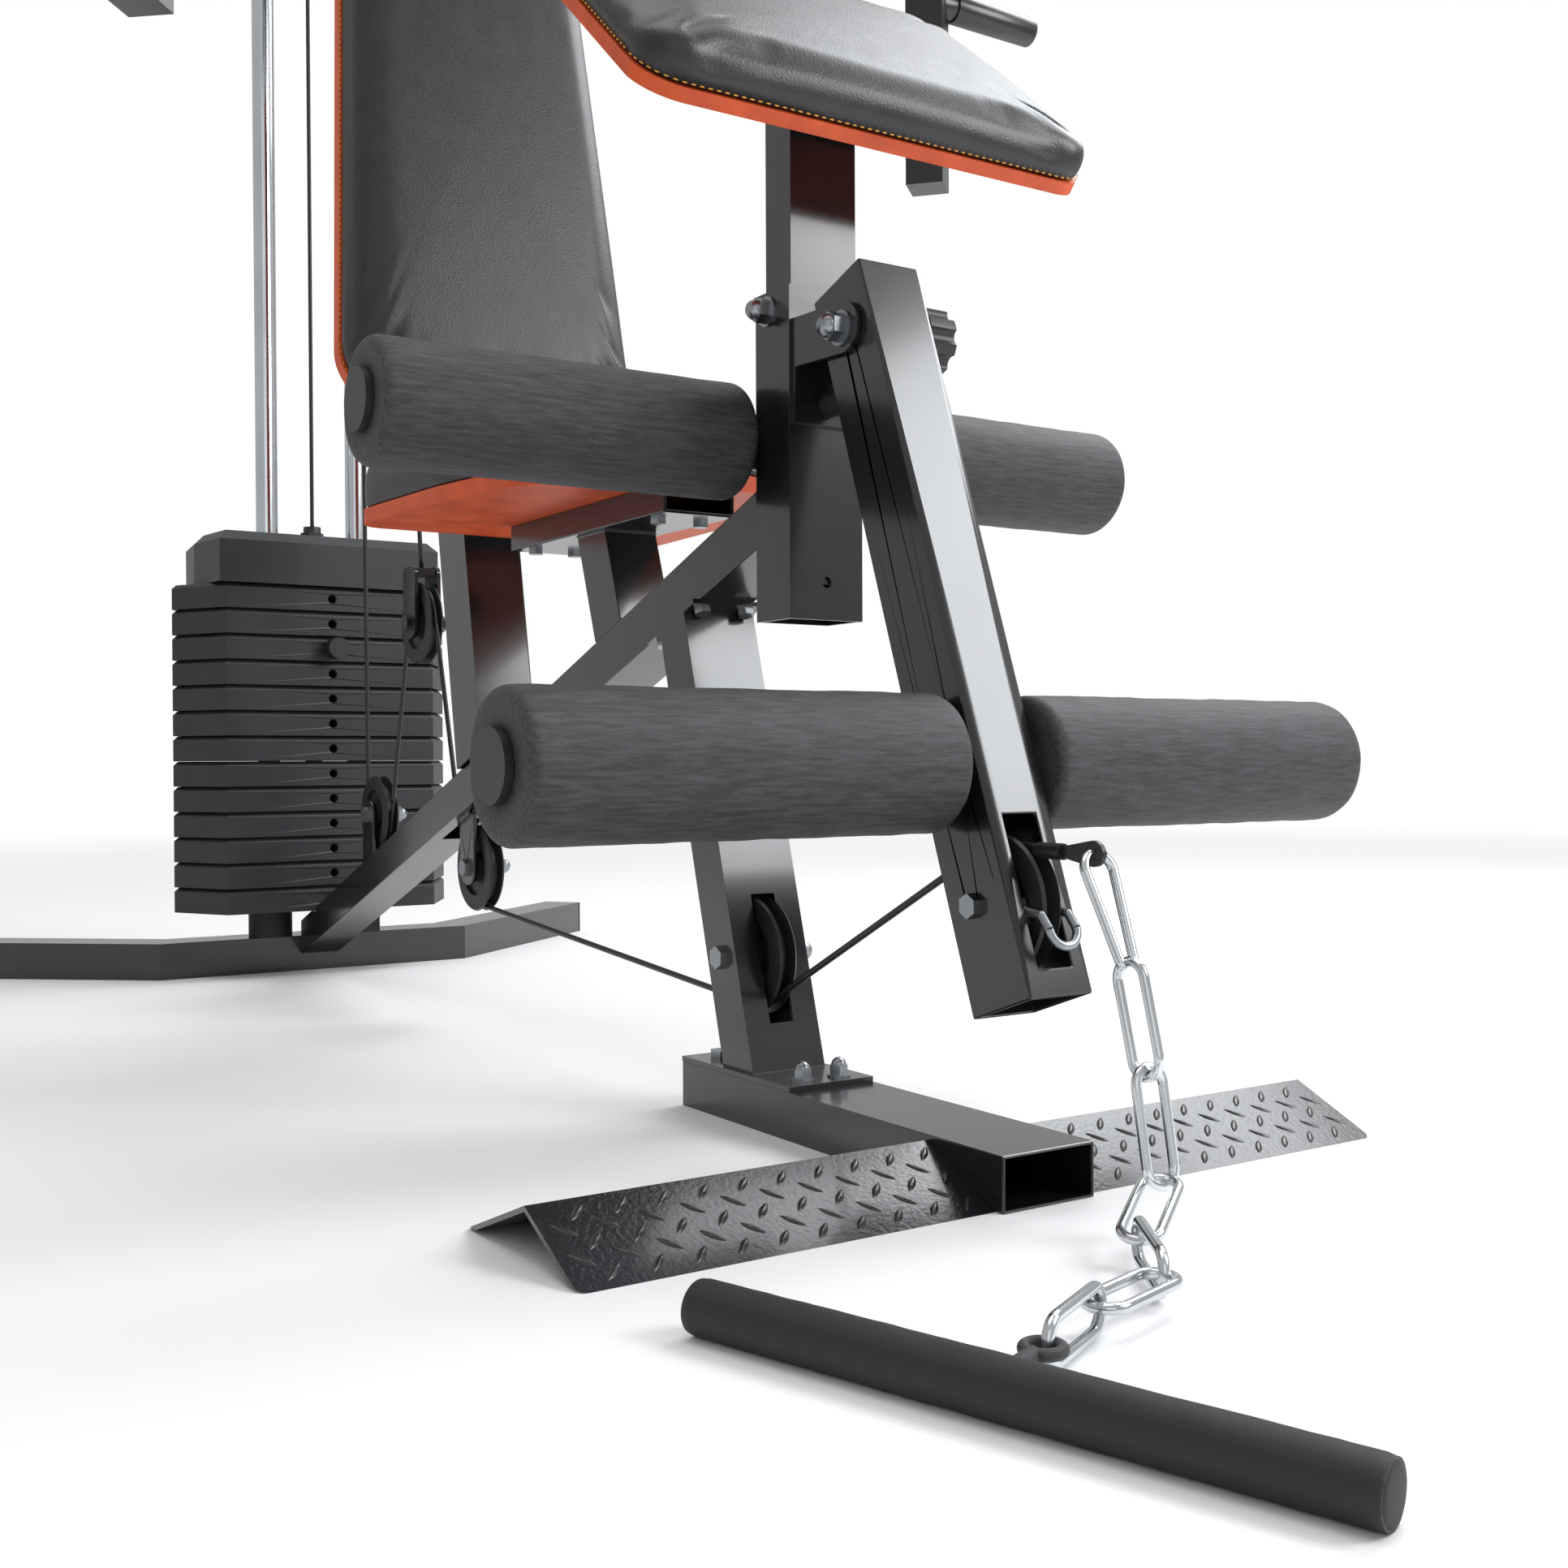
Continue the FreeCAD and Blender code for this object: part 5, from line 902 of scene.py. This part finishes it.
foot_end, top_end = straight_ends("cable_stack_span", 1)
cable_tube(
    "stack_cable", between(top_end, foot_end),
    "cable_stack_span")

foot_end, top_end = straight_ends("cable_lat_span", 1)
cable_tube(
    "lat_cable", between(top_end, foot_end),
    "cable_lat_span")

foot_end, top_end = straight_ends("cable_leg_span", -1)
cable_tube(
    "leg_cable", between(foot_end, top_end),
    "cable_leg_span")

foot_end, top_end = straight_ends("cable_block_span", 1)
top_end.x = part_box("cable_block_span")[0].x + CABLE_RADIUS
cable_tube(
    "block_cable", between(top_end, foot_end),
    "cable_block_span")


def loop_points():
    """Up to the block wheel, over it and down again."""
    low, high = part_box("cable_block_loop")
    wheel_low, wheel_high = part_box("block_wheel")
    centre = (wheel_low + wheel_high) / 2
    radius = high.z - CABLE_RADIUS - centre.z
    feet = []
    touches = []
    for side, foot_y in ((-1, low.y + CABLE_RADIUS), (1, high.y - CABLE_RADIUS)):
        foot = Vector((foot_y - centre.y, low.z - centre.z))
        feet.append(Vector((0, foot_y, low.z)))
        touches.append(math.atan2(foot.y, foot.x) + side * math.acos(radius / foot.length))
    turn_by = (touches[0] - touches[1]) % (2 * math.pi)
    over = []
    for step in range(LOOP_TOP_PARTS + 1):
        angle = touches[0] - turn_by * step / LOOP_TOP_PARTS
        reach = Vector((0, math.cos(angle), math.sin(angle))) * radius
        over.append(Vector((0, centre.y, centre.z)) + reach)
    up = between(feet[0], over[0], LOOP_SIDE_PARTS)[:-1]
    down = between(over[-1], feet[1], LOOP_SIDE_PARTS)[1:]
    return up + over + down, low, centre, radius


loop, loop_low, loop_centre, loop_radius = loop_points()
cable_tube(
    "block_loop", loop,
    "cable_block_loop")
print("moving cables made", [round(c, 3) for c in loop_centre], round(loop_radius, 4))

# %% [markdown]
# ## Floor, backdrop and light
# The floor is white to the camera far out and takes soft shadows near the station.

# %% Stage
FLOOR_HALF = 30.0
WHITE_FROM = 1.6
WHITE_TO = 5.5
SKY_LIGHT = 0.55
SKY_SEEN = 1.0


def floor_material():
    """White paper: shaded near the station, plain white further out."""
    material = bpy.data.materials.new("studio_floor")
    material.use_nodes = True
    tree = material.node_tree
    shader = tree.nodes["Principled BSDF"]
    out = tree.nodes["Material Output"]
    shader.inputs["Base Color"].default_value = (0.93, 0.93, 0.935, 1)
    shader.inputs["Roughness"].default_value = 0.55
    glow = node(tree, "ShaderNodeEmission")
    glow.inputs["Strength"].default_value = 1.0
    glow.inputs["Color"].default_value = (1, 1, 1, 1)
    place = node(tree, "ShaderNodeTexCoord")
    length = node(tree, "ShaderNodeVectorMath", operation="LENGTH")
    reach = node(tree, "ShaderNodeMapRange")
    reach.inputs["From Min"].default_value = WHITE_FROM
    reach.inputs["From Max"].default_value = WHITE_TO
    path = node(tree, "ShaderNodeLightPath")
    seen = node(tree, "ShaderNodeMath", operation="MULTIPLY")
    mix = node(tree, "ShaderNodeMixShader")
    tree.links.new(place.outputs["Object"], length.inputs[0])
    tree.links.new(length.outputs["Value"], reach.inputs["Value"])
    tree.links.new(reach.outputs["Result"], seen.inputs[0])
    tree.links.new(path.outputs["Is Camera Ray"], seen.inputs[1])
    tree.links.new(seen.outputs[0], mix.inputs["Fac"])
    tree.links.new(shader.outputs["BSDF"], mix.inputs[1])
    tree.links.new(glow.outputs["Emission"], mix.inputs[2])
    tree.links.new(mix.outputs["Shader"], out.inputs["Surface"])
    return material


floor_shape = bmesh.new()
bmesh.ops.create_grid(floor_shape, x_segments=1, y_segments=1, size=FLOOR_HALF)
floor = add_object("floor", as_mesh(floor_shape, "floor"), floor_material(), False)

world = bpy.data.worlds.new("studio")
scene.world = world
world.use_nodes = True
sky = world.node_tree
background = sky.nodes["Background"]
path = node(sky, "ShaderNodeLightPath")
seen = node(sky, "ShaderNodeMath", operation="MAXIMUM")
strength = node(sky, "ShaderNodeMapRange")
strength.inputs["To Min"].default_value = SKY_LIGHT
strength.inputs["To Max"].default_value = SKY_SEEN
sky.links.new(path.outputs["Is Camera Ray"], seen.inputs[0])
sky.links.new(path.outputs["Is Transmission Ray"], seen.inputs[1])
sky.links.new(seen.outputs[0], strength.inputs["Value"])
sky.links.new(strength.outputs["Result"], background.inputs["Strength"])
background.inputs["Color"].default_value = (1, 1, 1, 1)
scene.view_settings.view_transform = "Standard"


CENTRE = (0, 0.1, 0.4)
LAMP_TINT = (0.95, 0.975, 1.0)


def lamp(name, at, target, size, power):
    """A square softbox aimed at a point."""
    data = bpy.data.lights.new(name, "AREA")
    data.shape = "SQUARE"
    data.size = size
    data.energy = power
    data.color = LAMP_TINT
    piece = bpy.data.objects.new(name, data)
    scene.collection.objects.link(piece)
    piece.location = at
    piece.rotation_euler = (Vector(target) - Vector(at)).to_track_quat("-Z", "Y").to_euler()


lamp("key_light", (2.4, 0.6, 3.0), CENTRE, 2.0, 72)
lamp("front_right", (1.61, -1.7, 1.78), (0, -0.2, 0.35), 1.2, 44)
lamp("front_fill", (-1.6, -3.2, 1.6), CENTRE, 2.4, 10)
lamp("top_light", (-0.4, 0.2, 4.2), CENTRE, 2.6, 50)
print("stage and lamps ready")
